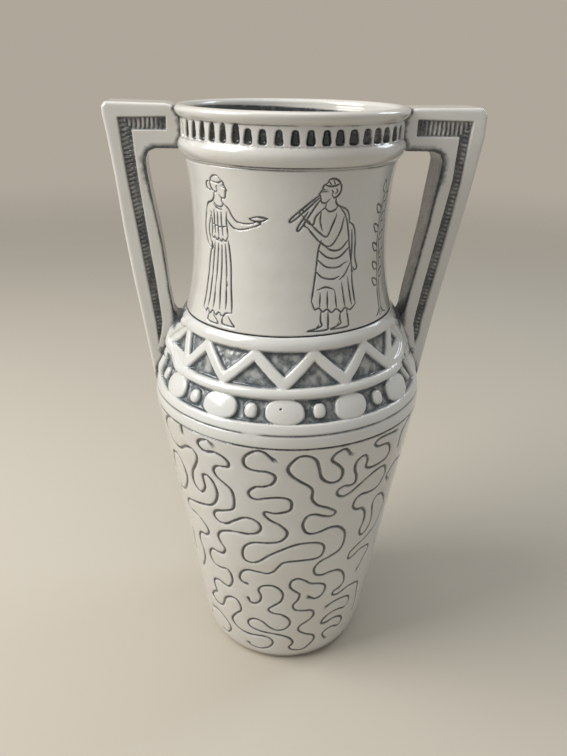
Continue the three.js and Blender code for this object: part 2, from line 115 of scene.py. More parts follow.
def soft_curve(points, spacing, closed=False):
    """Evenly spaced points on a smooth curve through the given ones."""
    given = np.array(points, float)
    count = len(given)
    if closed:
        padded = np.vstack([given[-1], given, given[0], given[1]])
        spans = count
    else:
        padded = np.vstack([2 * given[0] - given[1], given, 2 * given[-1] - given[-2]])
        spans = count - 1
    fine = []
    share = np.linspace(0, 1, SPAN_STEPS, endpoint=False)[:, None]
    for i in range(spans):
        a, b, c, d = padded[i : i + 4]
        bend = 2 * a - 5 * b + 4 * c - d
        twist = 3 * b - a - 3 * c + d
        fine.append(0.5 * (2 * b + (c - a) * share + bend * share**2 + twist * share**3))
    fine.append(padded[spans + 1][None, :])
    return evenly(np.vstack(fine), spacing)


def evenly(points, spacing):
    """The same line with its points a constant distance apart."""
    points = np.array(points, float)
    steps = np.hypot(*np.diff(points, axis=0).T)
    along = np.concatenate([[0], np.cumsum(steps)])
    count = max(int(round(along[-1] / spacing)), 2)
    marks = np.linspace(0, along[-1], count + 1)
    return np.column_stack([np.interp(marks, along, points[:, k]) for k in (0, 1)])


def rubbed(points, reach):
    """The line with its corners rubbed round over the given reach."""
    line = evenly(points, RUB_STEP)
    half = max(int(reach / RUB_STEP), 1)
    weights = np.hanning(2 * half + 3)[1:-1]
    weights /= weights.sum()
    padded = np.vstack([
        2 * line[0] - line[half:0:-1],
        line,
        2 * line[-1] - line[-2 : -half - 2 : -1],
    ])
    smooth = [np.convolve(padded[:, k], weights, mode="valid") for k in (0, 1)]
    return np.column_stack(smooth)


def roll(foot, top, swell):
    """A half-round moulding between two points of an outline."""
    points = []
    for i in range(ROLL_STEPS + 1):
        share = i / ROLL_STEPS
        bulge = swell * math.sin(math.pi * share) ** ROLL_FULLNESS
        points.append((
            foot[0] + (top[0] - foot[0]) * share + bulge,
            foot[1] + (top[1] - foot[1]) * share,
        ))
    return points


# %% A turned outline
FACES = (0.0, 180.0)


class Outline:
    """Radius and height along a turned surface, measured by the distance up it.

    Unrolled, the surface is a flat sheet that starts at the back. What is drawn on the front is
    repeated at the back, so most things are laid out for both FACES, given in degrees."""

    def __init__(self, points, rubbing):
        self.line = rubbed(points, rubbing)
        steps = np.hypot(*np.diff(self.line, axis=0).T)
        self.along = np.concatenate([[0], np.cumsum(steps)])
        self.length = float(self.along[-1])
        lean = np.gradient(self.line, axis=0)
        lean /= np.hypot(*lean.T)[:, None]
        self.normal = np.column_stack([lean[:, 1], -lean[:, 0]])
        self.mean_radius = float(self.line[:, 0].mean())
        self.width = 2 * math.pi * self.mean_radius

    def at(self, distance, out):
        """Radius and height of points lying `out` in front of the outline."""
        radius = np.interp(distance, self.along, self.line[:, 0])
        height = np.interp(distance, self.along, self.line[:, 1])
        lean_r = np.interp(distance, self.along, self.normal[:, 0])
        lean_z = np.interp(distance, self.along, self.normal[:, 1])
        return radius + out * lean_r, height + out * lean_z

    def up_to(self, height):
        """Distance along the outline at which it first reaches a height."""
        return float(np.interp(height, self.line[:, 1], self.along))

    def across(self, angle):
        """Where an angle in degrees from the front lies on the sheet."""
        return math.radians(angle + 180.0) * self.mean_radius

    def angle(self, across):
        """Angle in radians from the front of places across the sheet."""
        return across / self.mean_radius + math.pi

    def laid(self, path, turn_by=0.0):
        """Points in degrees and heights, turned on by some degrees and laid on the sheet."""
        return np.array([(self.across(angle + turn_by), self.up_to(height)) for angle, height in path])


# %% [markdown]
# ## Sheets that follow the carving
# Unrolled, a section of the vase is a flat sheet: across is the way round, up is the way up the
# outline. Rows of points are laid along every carved line, close together at its lips and further
# apart beyond, a loose net of points fills the plain clay, and a Delaunay triangulation joins them.
# An even grid fine enough for lines a millimetre wide would need ten times the faces, and a boolean
# cut would leave hard lips that glaze never has.

# %% Rows of points
TRIANGLE_RISE = 0.866


def rows_along(line, offsets):
    """Points beside a line at each of the offsets, on both sides."""
    lean = np.gradient(line, axis=0)
    lean /= np.maximum(np.hypot(*lean.T), 1e-9)[:, None]
    side = np.column_stack([-lean[:, 1], lean[:, 0]])
    return [line + side * offset for offset in offsets]


def beside_lines(lines, offsets):
    """For each offset, the points beside all of the lines together."""
    return [np.vstack(rows) for rows in zip(*(rows_along(line, offsets) for line in lines))]


def thin_out(groups):
    """Points of all groups in order, each with its gap, leaving out any that crowds one kept before."""
    cell = max(gap for points, gap in groups)
    kept = []
    cells = {}
    for points, gap in groups:
        for x, y in points:
            i, k = int(x // cell), int(y // cell)
            crowded = False
            for near in ((i + a, k + b) for a in (-1, 0, 1) for b in (-1, 0, 1)):
                for u, v in cells.get(near, ()):
                    if (u - x) ** 2 + (v - y) ** 2 < gap * gap:
                        crowded = True
                        break
                if crowded:
                    break
            if not crowded:
                kept.append((x, y))
                cells.setdefault((i, k), []).append((x, y))
    return np.array(kept)


def net(width, height, spacing):
    """A loose triangular net over a rectangle."""
    rows = max(int(height / (spacing * TRIANGLE_RISE)), 1)
    columns = max(int(width / spacing), 1)
    points = []
    for k in range(rows + 1):
        for i in range(columns + 1):
            points.append(((i + 0.5 * (k % 2)) * width / columns, k * height / rows))
    return np.array(points)


# %% Inside and beside a bent line
def inside_ring(points, ring):
    """Which points lie inside a closed line."""
    inside = np.zeros(len(points), bool)
    x, y = points[:, 0], points[:, 1]
    for (x0, y0), (x1, y1) in zip(ring, ring[1:]):
        crosses = (y0 > y) != (y1 > y)
        with np.errstate(divide="ignore", invalid="ignore"):
            at = x0 + (y - y0) * (x1 - x0) / (y1 - y0)
        inside ^= crosses & (x < at)
    return inside


def to_segments(points, path):
    """Distance from each point to a bent line."""
    best = np.full(len(points), 1e9)
    for a, b in zip(path, path[1:]):
        span = b - a
        share = np.clip(((points - a) @ span) / (span @ span), 0, 1)
        gap = points - a - share[:, None] * span
        best = np.minimum(best, np.hypot(gap[:, 0], gap[:, 1]))
    return best


def into_ring(points, ring):
    """Distance into a closed line, below zero outside it."""
    depth = to_segments(points, ring)
    depth[~inside_ring(points, ring)] *= -1
    return depth


# %% Distance to the nearest line
LINE_STEP = 0.12
RUN_IN = 2.2


class Nearest:
    """Finds how far a point of the sheet is from some lines, and how hard the tool was pressed there.

    On a sheet, whose width is given, the lines go on round the vase. The tool presses `ends` times as
    hard at the ends of a line as along it."""

    def __init__(self, lines, width=None, ends=1.0):
        fine = []
        sizes = []
        for line in lines:
            line = evenly(line, LINE_STEP)
            from_end = LINE_STEP * np.minimum(np.arange(len(line)), np.arange(len(line))[::-1])
            press = ends + (1 - ends) * np.clip(from_end / RUN_IN, 0, 1)
            uneven = np.array([1 + 0.2 * wobble(x, y, 0, 5.0, 15) for x, y in line])
            fine.append(line)
            sizes.append(press * uneven)
        self.sizes = np.concatenate(sizes)
        fine = np.vstack(fine)
        if width:
            fine = np.vstack([fine, fine + [width, 0], fine - [width, 0]])
            self.sizes = np.tile(self.sizes, 3)
        self.tree = kdtree.KDTree(len(fine))
        for i, (x, y) in enumerate(fine):
            self.tree.insert((x, y, 0), i)
        self.tree.balance()

    def distance(self, points):
        return np.array([self.tree.find((x, y, 0))[2] for x, y in points])

    def press(self, points):
        return self.sizes[[self.tree.find((x, y, 0))[1] for x, y in points]]


def ease(value, low, high):
    """0 below low, 1 above high and a soft step between."""
    share = np.clip((value - low) / (high - low), 0, 1)
    return share * share * (3 - 2 * share)


# %% Hand-made unevenness
def wobble(x, y, z, size, seed):
    """Slow unevenness of hand work, between about -1 and 1."""
    return noise.noise(Vector((x / size + seed * 17.3, y / size - seed * 5.1, z / size + seed * 2.7)))


def sheet_noise(points, outline, size, seed):
    """Unevenness over a flat sheet, which meets itself where the sheet closes at the back."""
    radius = outline.mean_radius
    return np.array([
        wobble(radius * math.sin(x / radius), radius * math.cos(x / radius), y, size, seed)
        for x, y in points
    ])


def noise_round(points, outline, size, seed):
    """Unevenness that changes round the vase but not up it."""
    return sheet_noise(points * [1.0, 0.0], outline, size, seed)


def thrown(radius, height, angle):
    """Radius with the slight waviness of a thrown and handled pot."""
    x, y = radius * math.sin(angle), -radius * math.cos(angle)
    return radius + 0.16 * wobble(x, y, height * 1.6, 26.0, 1) + 0.05 * wobble(x, y, height, 7.0, 2)


def askew(height, angle):
    """Height of a point: the bands were laid out by eye and stand a little higher on the right."""
    share = np.interp(height, (147, 162, 186, 200, 240), (0, 1, 1, 0.8, 0))
    return height + (0.5 + 1.1 * math.sin(angle)) * share


# %% Sheets of mesh
SEAM_STEP = 0.6
SEAM_CLEARANCE = 0.35
EDGE_CLEARANCE = 0.3
ON_SEAM = 0.001
FLAT_TOLERANCE = 0.00001
SAME_PLACE = 0.00002


def new_piece(name, mesh_maker):
    """A mesh object at the origin, shaded smooth, riding on the vase."""
    mesh = bpy.data.meshes.new(name)
    mesh_maker.to_mesh(mesh)
    mesh_maker.free()
    mesh.polygons.foreach_set("use_smooth", [True] * len(mesh.polygons))
    piece = bpy.data.objects.new(name, mesh)
    bpy.context.scene.collection.objects.link(piece)
    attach(piece, "root")
    print(name, "faces:", len(mesh.polygons))
    return piece


def turned_sheet(outline, points, relief):
    """Triangulates flat points, wraps them round the vase and presses the relief in.

    relief(points) gives how far each point stands out and how much stain and painted shade it holds. The
    right edge takes its relief from the left one, so that the two meet exactly where the sheet closes."""
    width = outline.width
    edge_rows = np.linspace(0, width, COLUMNS + 1)
    seam_rows = np.linspace(0, outline.length, max(int(outline.length / SEAM_STEP), 4))[1:-1]
    border = [(x, 0.0) for x in edge_rows] + [(x, outline.length) for x in edge_rows]
    border += [(0.0, y) for y in seam_rows] + [(width, y) for y in seam_rows]
    inside = points[
        (points[:, 0] > SEAM_CLEARANCE)
        & (points[:, 0] < width - SEAM_CLEARANCE)
        & (points[:, 1] > EDGE_CLEARANCE)
        & (points[:, 1] < outline.length - EDGE_CLEARANCE)
    ]
    flat = [Vector(point) for point in np.vstack([np.array(border), inside])]
    made = delaunay_2d_cdt(flat, [], [], 0, FLAT_TOLERANCE, False)
    flat = np.array([(v.x, v.y) for v in made[0]])
    folded = flat.copy()
    folded[folded[:, 0] > width - ON_SEAM, 0] = 0.0
    out, stain = relief(folded)
    radius, height = outline.at(flat[:, 1], out)
    sheet = bmesh.new()
    stain_layer = sheet.verts.layers.float.new("stain")
    for r, z, a, s in zip(radius, height, outline.angle(flat[:, 0]), stain):
        r = thrown(r, z, a)
        corner = sheet.verts.new((r * math.sin(a) * MM, -r * math.cos(a) * MM, askew(z, a) * MM))
        corner[stain_layer] = s
    sheet.verts.ensure_lookup_table()
    for a, b, c in made[2]:
        sheet.faces.new((sheet.verts[a], sheet.verts[b], sheet.verts[c]))
    bmesh.ops.remove_doubles(sheet, verts=sheet.verts, dist=SAME_PLACE)
    return sheet


# %% Inner walls
# The third number of each inside ring and the edge set here give painted shade: the inside of the mouth is
# darkened on the left, where the window's light does not reach.
INSIDE_SHADE_EDGE = -94.0
INSIDE_SHADE_SLANT = 25.0
INSIDE_SHADE_SOFTNESS = 8.0
JOINT_RING_GAP = 0.3
BODY_INSIDE = (60.2, BODY_TOP, 0.3)
NECK_INSIDE = (44.4, NECK_FOOT, 0.5)
COLLAR_INSIDE = (42.6, COLLAR_FOOT, 0.95)


def open_edges(sheet, top):
    """The sheet's upper or lower open edge."""
    edges = [e for e in sheet.edges if e.is_boundary]
    middle = sum(e.verts[0].co.z for e in edges) / len(edges)
    return [e for e in edges if (e.verts[0].co.z > middle) == top]


def shade_inside(x, height):
    """Painted shade inside the mouth: 1 on the left, where the window's light does not reach, and 0 on the
    right, with its edge further right lower down.
    """
    edge = INSIDE_SHADE_EDGE + INSIDE_SHADE_SLANT * (RIM_TOP - height)
    return 1 - ease(x, edge - INSIDE_SHADE_SOFTNESS, edge + INSIDE_SHADE_SOFTNESS)


def near_ring(ring, towards):
    """A ring a little way along from one ring to the next."""
    share = JOINT_RING_GAP / math.dist(ring[:2], towards[:2])
    return tuple(a + share * (b - a) for a, b in zip(ring, towards))


def wall_inside(sheet, rings):
    """Carries the sheet's top edge over and down the inside, ring by ring, to its lower edge.

    A ring is its radius, its height and the painted shade on it, where there is any. The shade darkens the
    left of the inside, out of the window's light, and its upper edge runs a little lower on the right. One
    more ring close to each joint keeps the shading even there."""
    after_first = near_ring(rings[0], rings[1])
    before_last = near_ring(rings[-1], rings[-2])
    rings = [rings[0], after_first, *rings[1:-1], before_last, rings[-1]]
    stain_layer = sheet.verts.layers.float["stain"]
    lower = open_edges(sheet, top=False)
    edges = open_edges(sheet, top=True)
    for radius, height, dark in rings:
        grown = bmesh.ops.extrude_edge_only(sheet, edges=edges)["geom"]
        edges = [g for g in grown if isinstance(g, bmesh.types.BMEdge)]
        for corner in (g for g in grown if isinstance(g, bmesh.types.BMVert)):
            flat = Vector((corner.co.x, corner.co.y))
            flat = flat.normalized() * radius * MM
            corner.co = (flat.x, flat.y, height * MM)
            # Painted shade on the inside, on the left of the mouth.
            corner[stain_layer] = dark * shade_inside(flat.x / MM, height)
    bmesh.ops.bridge_loops(sheet, edges=edges + lower)
    bmesh.ops.recalc_face_normals(sheet, faces=sheet.faces)
    return sheet


# %% [markdown]
# ## The wandering line on the body
# The body is filled with a line that wanders like a river, drawn freehand with a round-ended tool.
# It is a traditional filling pattern. Each run below is a few points in degrees round from the front
# and millimetres up from the table. The back repeats the front, and two of the runs fill each side.

# %% Runs of the wandering line
RUNS = [
    [(-7, 140), (-11, 144), (-14, 144), (-17, 142), (-19, 139), (-19, 135.5), (-17, 133.5), (-13, 133),
     (-10, 133), (-7, 131.5), (-6.5, 129), (-8, 126), (-11, 124.3), (-15, 123.3), (-18, 120),
     (-17.5, 117), (-14.5, 116), (-10.5, 117.3), (-5, 118.3), (-1, 117.5), (0.5, 115), (0, 111),
     (-3, 109.3), (-7, 108.5), (-11, 109), (-11.5, 107), (-9, 104), (-5, 101.5), (-2, 98.5), (-1, 96),
     (-2, 93), (-5, 90.3), (-10, 89), (-16, 88.3), (-20, 86.5), (-23, 83), (-24, 78.5), (-23, 75),
     (-19, 74), (-15, 76), (-9.5, 81), (-4, 84.7), (1, 87.5), (6, 89), (12.5, 88.8), (16.5, 87), (18, 84),
     (17, 79.5), (13.5, 77.8), (6, 77.5), (-2, 76.5), (-5, 73.5), (-7.5, 70), (-11, 68), (-16, 68.3),
     (-22, 68), (-25.5, 65.5), (-27.5, 61), (-26, 58.3), (-23, 57.7)],
    [(24, 140), (21.5, 143.5), (19, 143), (17, 141.5), (16, 138.5), (18.7, 135.5), (21.3, 132),
     (21.5, 127.7), (19.5, 125.5), (16, 125.7), (12.5, 129), (11, 135), (9.3, 140), (6, 142.2), (3, 142),
     (0.5, 139.5), (-1.5, 135.3), (0, 131.5), (3.5, 128), (7.3, 125), (9.2, 122), (9.2, 117), (12, 113),
     (17, 110.2), (21.3, 106.5), (19, 104.5), (15, 105.7), (11, 107.3), (7.7, 106.2), (6, 101.5),
     (7.2, 97), (10, 95), (14.5, 95.5), (19.5, 97), (24.3, 96), (28.5, 91), (29, 84), (27, 79.7),
     (22, 77.3), (16.7, 75), (13.8, 70.7), (15, 66.3), (18.8, 65), (23.5, 65.7), (28.7, 65), (33, 61),
     (35, 55), (33, 51), (28.8, 49.7), (28, 47.2), (31.6, 46), (35, 46.6), (40.8, 47.6), (49.9, 45),
     (51.9, 40), (53.9, 31), (54.2, 21.4)],
    [(-33, 142.5), (-35, 143.8), (-38.5, 142.8), (-40.5, 140.3), (-39.3, 138), (-36.8, 137),
     (-32.6, 138.2), (-28.5, 137.3), (-26, 134.7), (-26.3, 132.2), (-29, 131.2), (-32.2, 130.5),
     (-34, 127.5), (-32.6, 124), (-29, 121.3), (-26.2, 118.5), (-25.3, 113), (-26.5, 107), (-31.5, 104),
     (-36.5, 101.7), (-38.3, 98.5), (-36, 95.5), (-31.5, 95.7), (-26.6, 99.5), (-22, 102.7), (-18, 103.3),
     (-14.6, 101.5), (-13.4, 98), (-15.5, 94.7), (-19.5, 93), (-24, 92.5), (-30, 91.5), (-35.3, 89),
     (-38, 85), (-36.8, 81), (-34.5, 77.7), (-36.3, 74), (-40, 73), (-44, 73), (-47, 69.7), (-47.3, 65.3),
     (-44.7, 62), (-40, 62), (-35.5, 63), (-33, 60), (-33, 55), (-36, 50.3), (-40, 50.2), (-44, 51),
     (-48.7, 48.5), (-49.3, 44), (-48.7, 40), (-53, 36.7), (-55.3, 33.4)],
    [(-59.4, 145.5), (-62.5, 143.3), (-64.7, 139.5), (-64.6, 136), (-62.2, 132.6), (-59, 130.4),
     (-54, 130.7), (-49, 134.3), (-44.5, 134.5), (-42.5, 131.3), (-44.5, 126), (-48, 120), (-49, 114),
     (-46.7, 110.5), (-43.7, 110), (-41, 114), (-41, 118), (-41, 121.5), (-38.3, 122.5), (-35.5, 120),
     (-34, 114.7), (-35, 109.5), (-38.5, 104.5), (-45, 101.7), (-52, 99.5), (-59, 97), (-61, 93),
     (-58, 91), (-52, 90.7), (-47, 88), (-44.8, 84), (-47.5, 80.5), (-53, 79), (-55.5, 73.5), (-54, 66),
     (-55.5, 58.5), (-60, 52)],
    [(-23.3, 47.2), (-22.3, 44.7), (-19.3, 44.2), (-16, 47), (-15.2, 51), (-16.5, 55), (-14.2, 58.3),
     (-9.3, 59.5), (-5, 57.7), (-2.5, 53.5), (-3.7, 48.3), (-7.7, 44.7), (-11.2, 41.2), (-8.3, 38.7),
     (-3.5, 38), (0.8, 35), (2.2, 31), (-0.2, 27.2), (-5.3, 25.3), (-10.4, 27), (-15.5, 31),
     (-20.7, 31.8), (-25, 28.7), (-24, 25), (-17.2, 23), (-9.3, 22.3), (-2, 21), (2.7, 18.5), (4.7, 14.8),
     (2.2, 11), (5.3, 8.6), (11.5, 8), (16.5, 11), (19.6, 15), (18.5, 18.7), (12.7, 21.3), (8, 24.7),
     (8.8, 28.5), (13.7, 31.7), (17, 35.5), (15.5, 39.3), (10, 40.3), (5, 41.5), (3.5, 45), (6.2, 49),
     (7, 53), (4.3, 55.5), (1.4, 58.7), (1.8, 62.7), (5, 64.7), (8.7, 63.3), (13, 60.2), (17.6, 59.2),
     (21.5, 57), (22, 53), (20, 49.5), (16.4, 48.3), (12.7, 50)],
    [(-27, 10.5), (-24.3, 8.5), (-18.5, 7.8), (-12.4, 10), (-9, 14), (-10.3, 17.8), (-15.5, 19.2),
     (-24.5, 18.3), (-31, 19), (-36, 21.5), (-37.7, 25.3), (-34, 30.5), (-29.6, 35), (-29.7, 39.5),
     (-32, 42.7), (-36.5, 42.3), (-41, 39), (-43.5, 34), (-46, 31), (-51.4, 30.5), (-55.3, 33.4)],
    [(25, 39), (30.3, 41), (37.5, 40.8), (43.5, 38), (44.3, 33.5), (41.5, 31), (35.2, 32.7), (29, 32.5),
     (24.4, 29.3), (23.7, 26.3), (28, 26), (33, 27), (39.5, 24.7), (41.7, 20.5), (38.7, 18), (33.2, 20),
     (29, 19.7), (25.8, 17), (28.7, 12.3)],
    [(49, 142.7), (42, 143.5), (37.6, 143.3), (35.8, 141.4), (37.7, 139.2), (42, 138.5), (45.3, 137),
     (47.5, 132.5), (46, 128.7), (41, 127.7), (36, 127.8), (33.3, 129.5), (33.4, 133.3), (32, 136.5),
     (29.6, 136.5), (27.6, 134), (27.5, 130), (29, 125.7), (28.8, 122), (26.3, 121), (23.4, 121.7),
     (20.7, 120), (20.7, 117.3), (23.3, 115.5), (27, 116.3), (32, 119.8), (37, 122.8), (43, 124.5),
     (47, 123.5), (48.7, 119), (47, 114.5), (44, 112), (39, 111.7), (34.5, 112.5), (31.4, 110.7),
     (30.6, 106.5), (33, 103.7), (36.7, 102.7), (39.6, 99), (40.4, 93.3), (39, 87.7), (40.5, 83.5),
     (44.5, 84.5), (47, 89.7), (45.7, 97), (44.7, 102.5), (47.7, 105.5), (53, 103), (57.5, 96),
     (56.7, 89), (53.5, 83), (48, 80), (40.3, 77.5), (35.2, 74.5), (34.9, 70), (38.5, 70.6), (43.2, 72.5),
     (50.3, 71.4), (52.1, 68.7), (51.2, 66), (48.6, 62.3), (45.1, 57)],
    [(60.5, 144.3), (59, 143.3), (56.1, 140.2), (54.9, 136.8), (54.8, 133.7), (55.3, 131.3)],
    [(62, 120.6), (57.1, 120.7), (54.5, 118.9), (52.2, 116.9), (51.5, 115), (53.4, 111.8)],
    [(-49.8, 145.2), (-49.8, 141.5)],
    [(-69.3, 111.7), (-67.1, 118), (-65.2, 122.5), (-60, 123.9), (-56.7, 121.5), (-55.2, 117.5),
     (-54.8, 112.2), (-56.9, 107.1), (-61.3, 102.1), (-66.1, 100.3)],
    [(-64.9, 72.5), (-67.3, 60)],
    [(-58.5, 22), (-55.3, 23.1), (-49.4, 23.1), (-44.3, 20.9), (-41.2, 18.2), (-41, 14.6), (-44.9, 10),
     (-49.5, 9.5)],
]
SIDE_RUNS = (2, 5)
SIDE_TURN = 124.0


def wandering_lines(outline):
    """All runs round the body, as flat lines on the unrolled sheet."""
    lines = []
    for face in FACES:
        lines += [soft_curve(outline.laid(run, face), 0.7) for run in RUNS]
        lines += [soft_curve(outline.laid(RUNS[k], face + SIDE_TURN), 0.7) for k in SIDE_RUNS]
    return lines


# %% [markdown]
# ## Incised lines
# The tool leaves a groove with a round bottom. It lifts a trace of a burr on both sides, the stain
# fills it, and the glaze rounds it all over. The body and the neck use the same groove.

# %% Grooves
BODY_LINE_OFFSETS = (0.0, 0.28, -0.28, 0.55, -0.55, 0.85, -0.85, 1.3, -1.3)
NECK_LINE_OFFSETS = (0.0, 0.18, -0.18, 0.36, -0.36, 0.62, -0.62, 1.0, -1.0)


def wrapped(lines, width):
    """Copies of the lines moved round by whole turns, where they lie on the sheet."""
    moved = []
    for line in lines:
        for shift in (-2 * width, -width, 0.0, width):
            there = line + [shift, 0]
            if there[:, 0].max() > -2 and there[:, 0].min() < width + 2:
                moved.append(there)
    return moved


def groove(distance, half_width, depth):
    """How far a point stands out beside a groove, and the stain it holds."""
    bowl = 1 - ease(distance / half_width, 0.2, 1.3)
    burr = np.exp(-(((distance / half_width - 1.75) / 0.5) ** 2))
    stain = 1 - ease(distance / half_width, 0.55, 1.15)
    return -depth * bowl + 0.05 * burr, stain


def line_points(lines, outline, loose, offsets, gap):
    """Point rows beside the lines and a loose net between them."""
    groups = [(row, gap) for row in beside_lines(lines, offsets)]
    groups.append((net(outline.width, outline.length, loose), loose * 0.6))
    return thin_out(groups)


def ring_points(outline, distances, step=1.0):
    """Rows of points right round the vase at the given distances up the outline."""
    across = np.linspace(0, outline.width, int(outline.width / step))
    rows = [np.column_stack([across, np.full(len(across), d)]) for d in distances]
    return np.vstack(rows)


# %% [markdown]
# ## Outlines of the sections
# The turned outlines come first, because the straps of the handles have to meet them.

# %% Outlines
BODY_JOINT = (65.6, BODY_TOP)
NECK_JOINT = (49.0, NECK_FOOT)
COLLAR_JOINT = (47.2, COLLAR_FOOT)
LOWER_ROLL_EDGE = (65.2, LOWER_ROLL_FOOT)
MIDDLE_ROLL_EDGE = (58.4, MIDDLE_ROLL_FOOT)
UPPER_ROLL_EDGE = (51.3, UPPER_ROLL_FOOT)
LOWER_ROLL_SWELL = 0.5
MIDDLE_ROLL_SWELL = 1.3
UPPER_ROLL_SWELL = 1.3
COLLAR_ROLL_SWELL = 1.9
ROLL_LINE = 259.6
SLOT_BAND_RADIUS = 48.8
SLOT_BAND_TOP = 275.0
body_outline = Outline([
    (40.6, FOOT_LINE), (41.9, 3.4), (43.0, 6.0), (43.9, 9.5), (45.2, 16.0), (47.2, 29.0), (52.9, 65.6),
    (58.5, 102.0), (62.4, 126.0), (64.1, 136.5), (65.1, 142.5), BODY_JOINT,
], rubbing=2.0)
shoulder_outline = Outline(
    [BODY_JOINT, (65.75, 149.0), LOWER_ROLL_EDGE]
    + roll(LOWER_ROLL_EDGE, (63.4, BEAD_FOOT), LOWER_ROLL_SWELL)[1:]
    + [MIDDLE_ROLL_EDGE]
    + roll(MIDDLE_ROLL_EDGE, (57.2, ZIGZAG_FOOT), MIDDLE_ROLL_SWELL)[1:]
    + [UPPER_ROLL_EDGE]
    + roll(UPPER_ROLL_EDGE, NECK_JOINT, UPPER_ROLL_SWELL)[1:],
    rubbing=0.5,
)
neck_outline = Outline([
    NECK_JOINT, (48.2, 194.0), (46.4, 203.0), (45.1, 214.0), (44.5, 226.0), (44.7, 238.0),
    (45.6, 249.0), (46.6, 255.5), COLLAR_JOINT,
], rubbing=1.5)
collar_outline = Outline(
    [COLLAR_JOINT, (47.5, 259.3)]
    + roll((47.7, ROLL_LINE), (SLOT_BAND_RADIUS, SLOT_BAND_FOOT), COLLAR_ROLL_SWELL)
    + [
        (SLOT_BAND_RADIUS, SLOT_BAND_TOP - 0.4), (48.7, SLOT_BAND_TOP), (49.6, SLOT_BAND_TOP + 0.6),
        (50.5, 276.7), (51.05, 277.9), (50.9, 278.9), (50.2, 279.6), (49.0, RIM_TOP), (47.6, RIM_TOP),
        (46.5, 279.5), (45.8, 278.5), (45.6, 277.0),
    ],
    rubbing=0.45,
)
COLLAR_OUTSIDE = 47.0
collar_outside = collar_outline.line[collar_outline.line[:, 0] > COLLAR_OUTSIDE]
wall_line = np.vstack([shoulder_outline.line, neck_outline.line, collar_outside])
for outline in (body_outline, shoulder_outline, neck_outline, collar_outline):
    print("sheet:", round(outline.width, 1), "by", round(outline.length, 1), "mm")


def wall_radius(height):
    """How far out the wall of the vase is at a height."""
    order = np.argsort(wall_line[:, 1])
    return np.interp(height, wall_line[order, 1], wall_line[order, 0])


# %% [markdown]
# ## The straps of the handles
# Each handle is a thick strap cut from a slab: a level bar from the collar and a leg that leans in to
# the shoulder. A channel with a ribbed bottom runs along the front and the back. The two were cut by
# hand and differ by a few millimetres, so every edge below has its own line for the left and the right.

# %% Strap edges
LEG_HEIGHTS = (157, 180, 202, 226, 250, 268, 276)
LEG_OUTER = {-1: (65.9, 69.0, 72.0, 74.8, 76.8, 78.8, 80.0), 1: (65.9, 69.3, 72.9, 77.0, 80.7, 83.0, 83.0)}
GAP_HEIGHTS = (198, 209, 220, 231, 242, 252, 262)
LEG_INNER = {-1: (56.0, 56.8, 57.9, 59.6, 61.4, 62.7, 63.2), 1: (57.2, 59.2, 60.9, 62.8, 64.1, 65.5, 66.3)}
CHANNEL_HEIGHTS = (182, 202, 226, 250, 262)
CHANNEL_OUTER = {-1: (63.5, 66.0, 68.8, 71.8, 72.9), 1: (64.7, 68.2, 72.0, 75.4, 76.3)}
CHANNEL_INNER = {-1: (60.0, 61.6, 64.2, 66.5, 67.4), 1: (60.8, 63.6, 67.4, 71.1, 71.5)}
STRAP_TOP = {-1: 280.7, 1: 280.1}
BAR_FOOT = 262.0
BAR_CHANNEL_TOP = {-1: 275.2, 1: 275.2}
BAR_CHANNEL_FOOT = {-1: 269.4, 1: 268.0}
BAR_CHANNEL_START = 53.2
TOP_THICKNESS = 22.0
FOOT_THICKNESS = 13.5
THIN_BELOW = 188.0
CHANNEL_DEPTH = 2.0
RIB_PITCH = 1.9
STRAP_ROUNDING = 1.5
SHEAR = 0.08


def half_thickness(height):
    """Half of a strap's thickness, which grows towards its top."""
    return np.interp(height, (THIN_BELOW, RIM_TOP), (FOOT_THICKNESS, TOP_THICKNESS)) / 2


def sheared(x, y):
    """The slabs stand a little askew, so that x shifts from the front face to the back face."""
    return x - SHEAR * (y + TOP_THICKNESS / 2)


def unsheared(x, y):
    """The same x with that shift taken out."""
    return x + SHEAR * (y + TOP_THICKNESS / 2)


def strap_ring(side):
    """The closed edge of a strap, seen from the front, with the distance from the axis as x."""
    top = STRAP_TOP[side]
    outer = LEG_OUTER[side]
    inner = LEG_INNER[side]
    corner = (outer[-1] - (1.6 if side < 0 else 2.4), top - 0.1)
    under = [(outer[-1], top - (1.9 if side < 0 else 2.9))]
    down = [(x, z) for x, z in zip(outer[::-1], LEG_HEIGHTS[::-1])]
    root = [(64.7, 151.5), (63.0, 147.0), (60.0, 147.5), (57.5, 156.0), (52.0, 172.0), (47.6, 182.5)]
    crotch = [(48.2, 185.2), (inner[0] - 3.0, 185.4), (inner[0] - 1.5, 188.0)]
    up = [(x, z) for x, z in zip(inner[:-1], GAP_HEIGHTS[:-1])]
    arch = [(inner[-1] - 0.2, 257.5), (inner[-1] - 1.5, 260.6), (inner[-1] - 4.6, BAR_FOOT)]
    bar = [(46.2, BAR_FOOT), (46.4, 272.0), (48.2, 278.8), (53.0, top - 0.5)]
    ring = bar[1:] + [corner] + under + down + root + crotch + up + arch + bar[:2]
    return evenly(rubbed(ring, 0.9), 0.5)


def channel_ring(side):
    """The closed edge of a strap's channel: a bar, then a leg that runs out to a point."""
    outer = list(zip(CHANNEL_OUTER[side][::-1], CHANNEL_HEIGHTS[::-1]))
    inner = list(zip(CHANNEL_INNER[side], CHANNEL_HEIGHTS))
    corner = (outer[0][0] + 0.9, BAR_CHANNEL_TOP[side] - 0.5)
    elbow = (inner[-1][0] + 0.3, BAR_CHANNEL_FOOT[side])
    tip = [(outer[-1][0] - 0.4, 176.0), (62.6, 170.5), (inner[0][0] + 0.9, 176.5)]
    ring = [(BAR_CHANNEL_START, BAR_CHANNEL_TOP[side]), corner] + outer + tip + inner
    ring += [elbow, (BAR_CHANNEL_START, BAR_CHANNEL_FOOT[side]), (BAR_CHANNEL_START, BAR_CHANNEL_TOP[side])]
    return evenly(rubbed(ring, 0.5), 0.4)


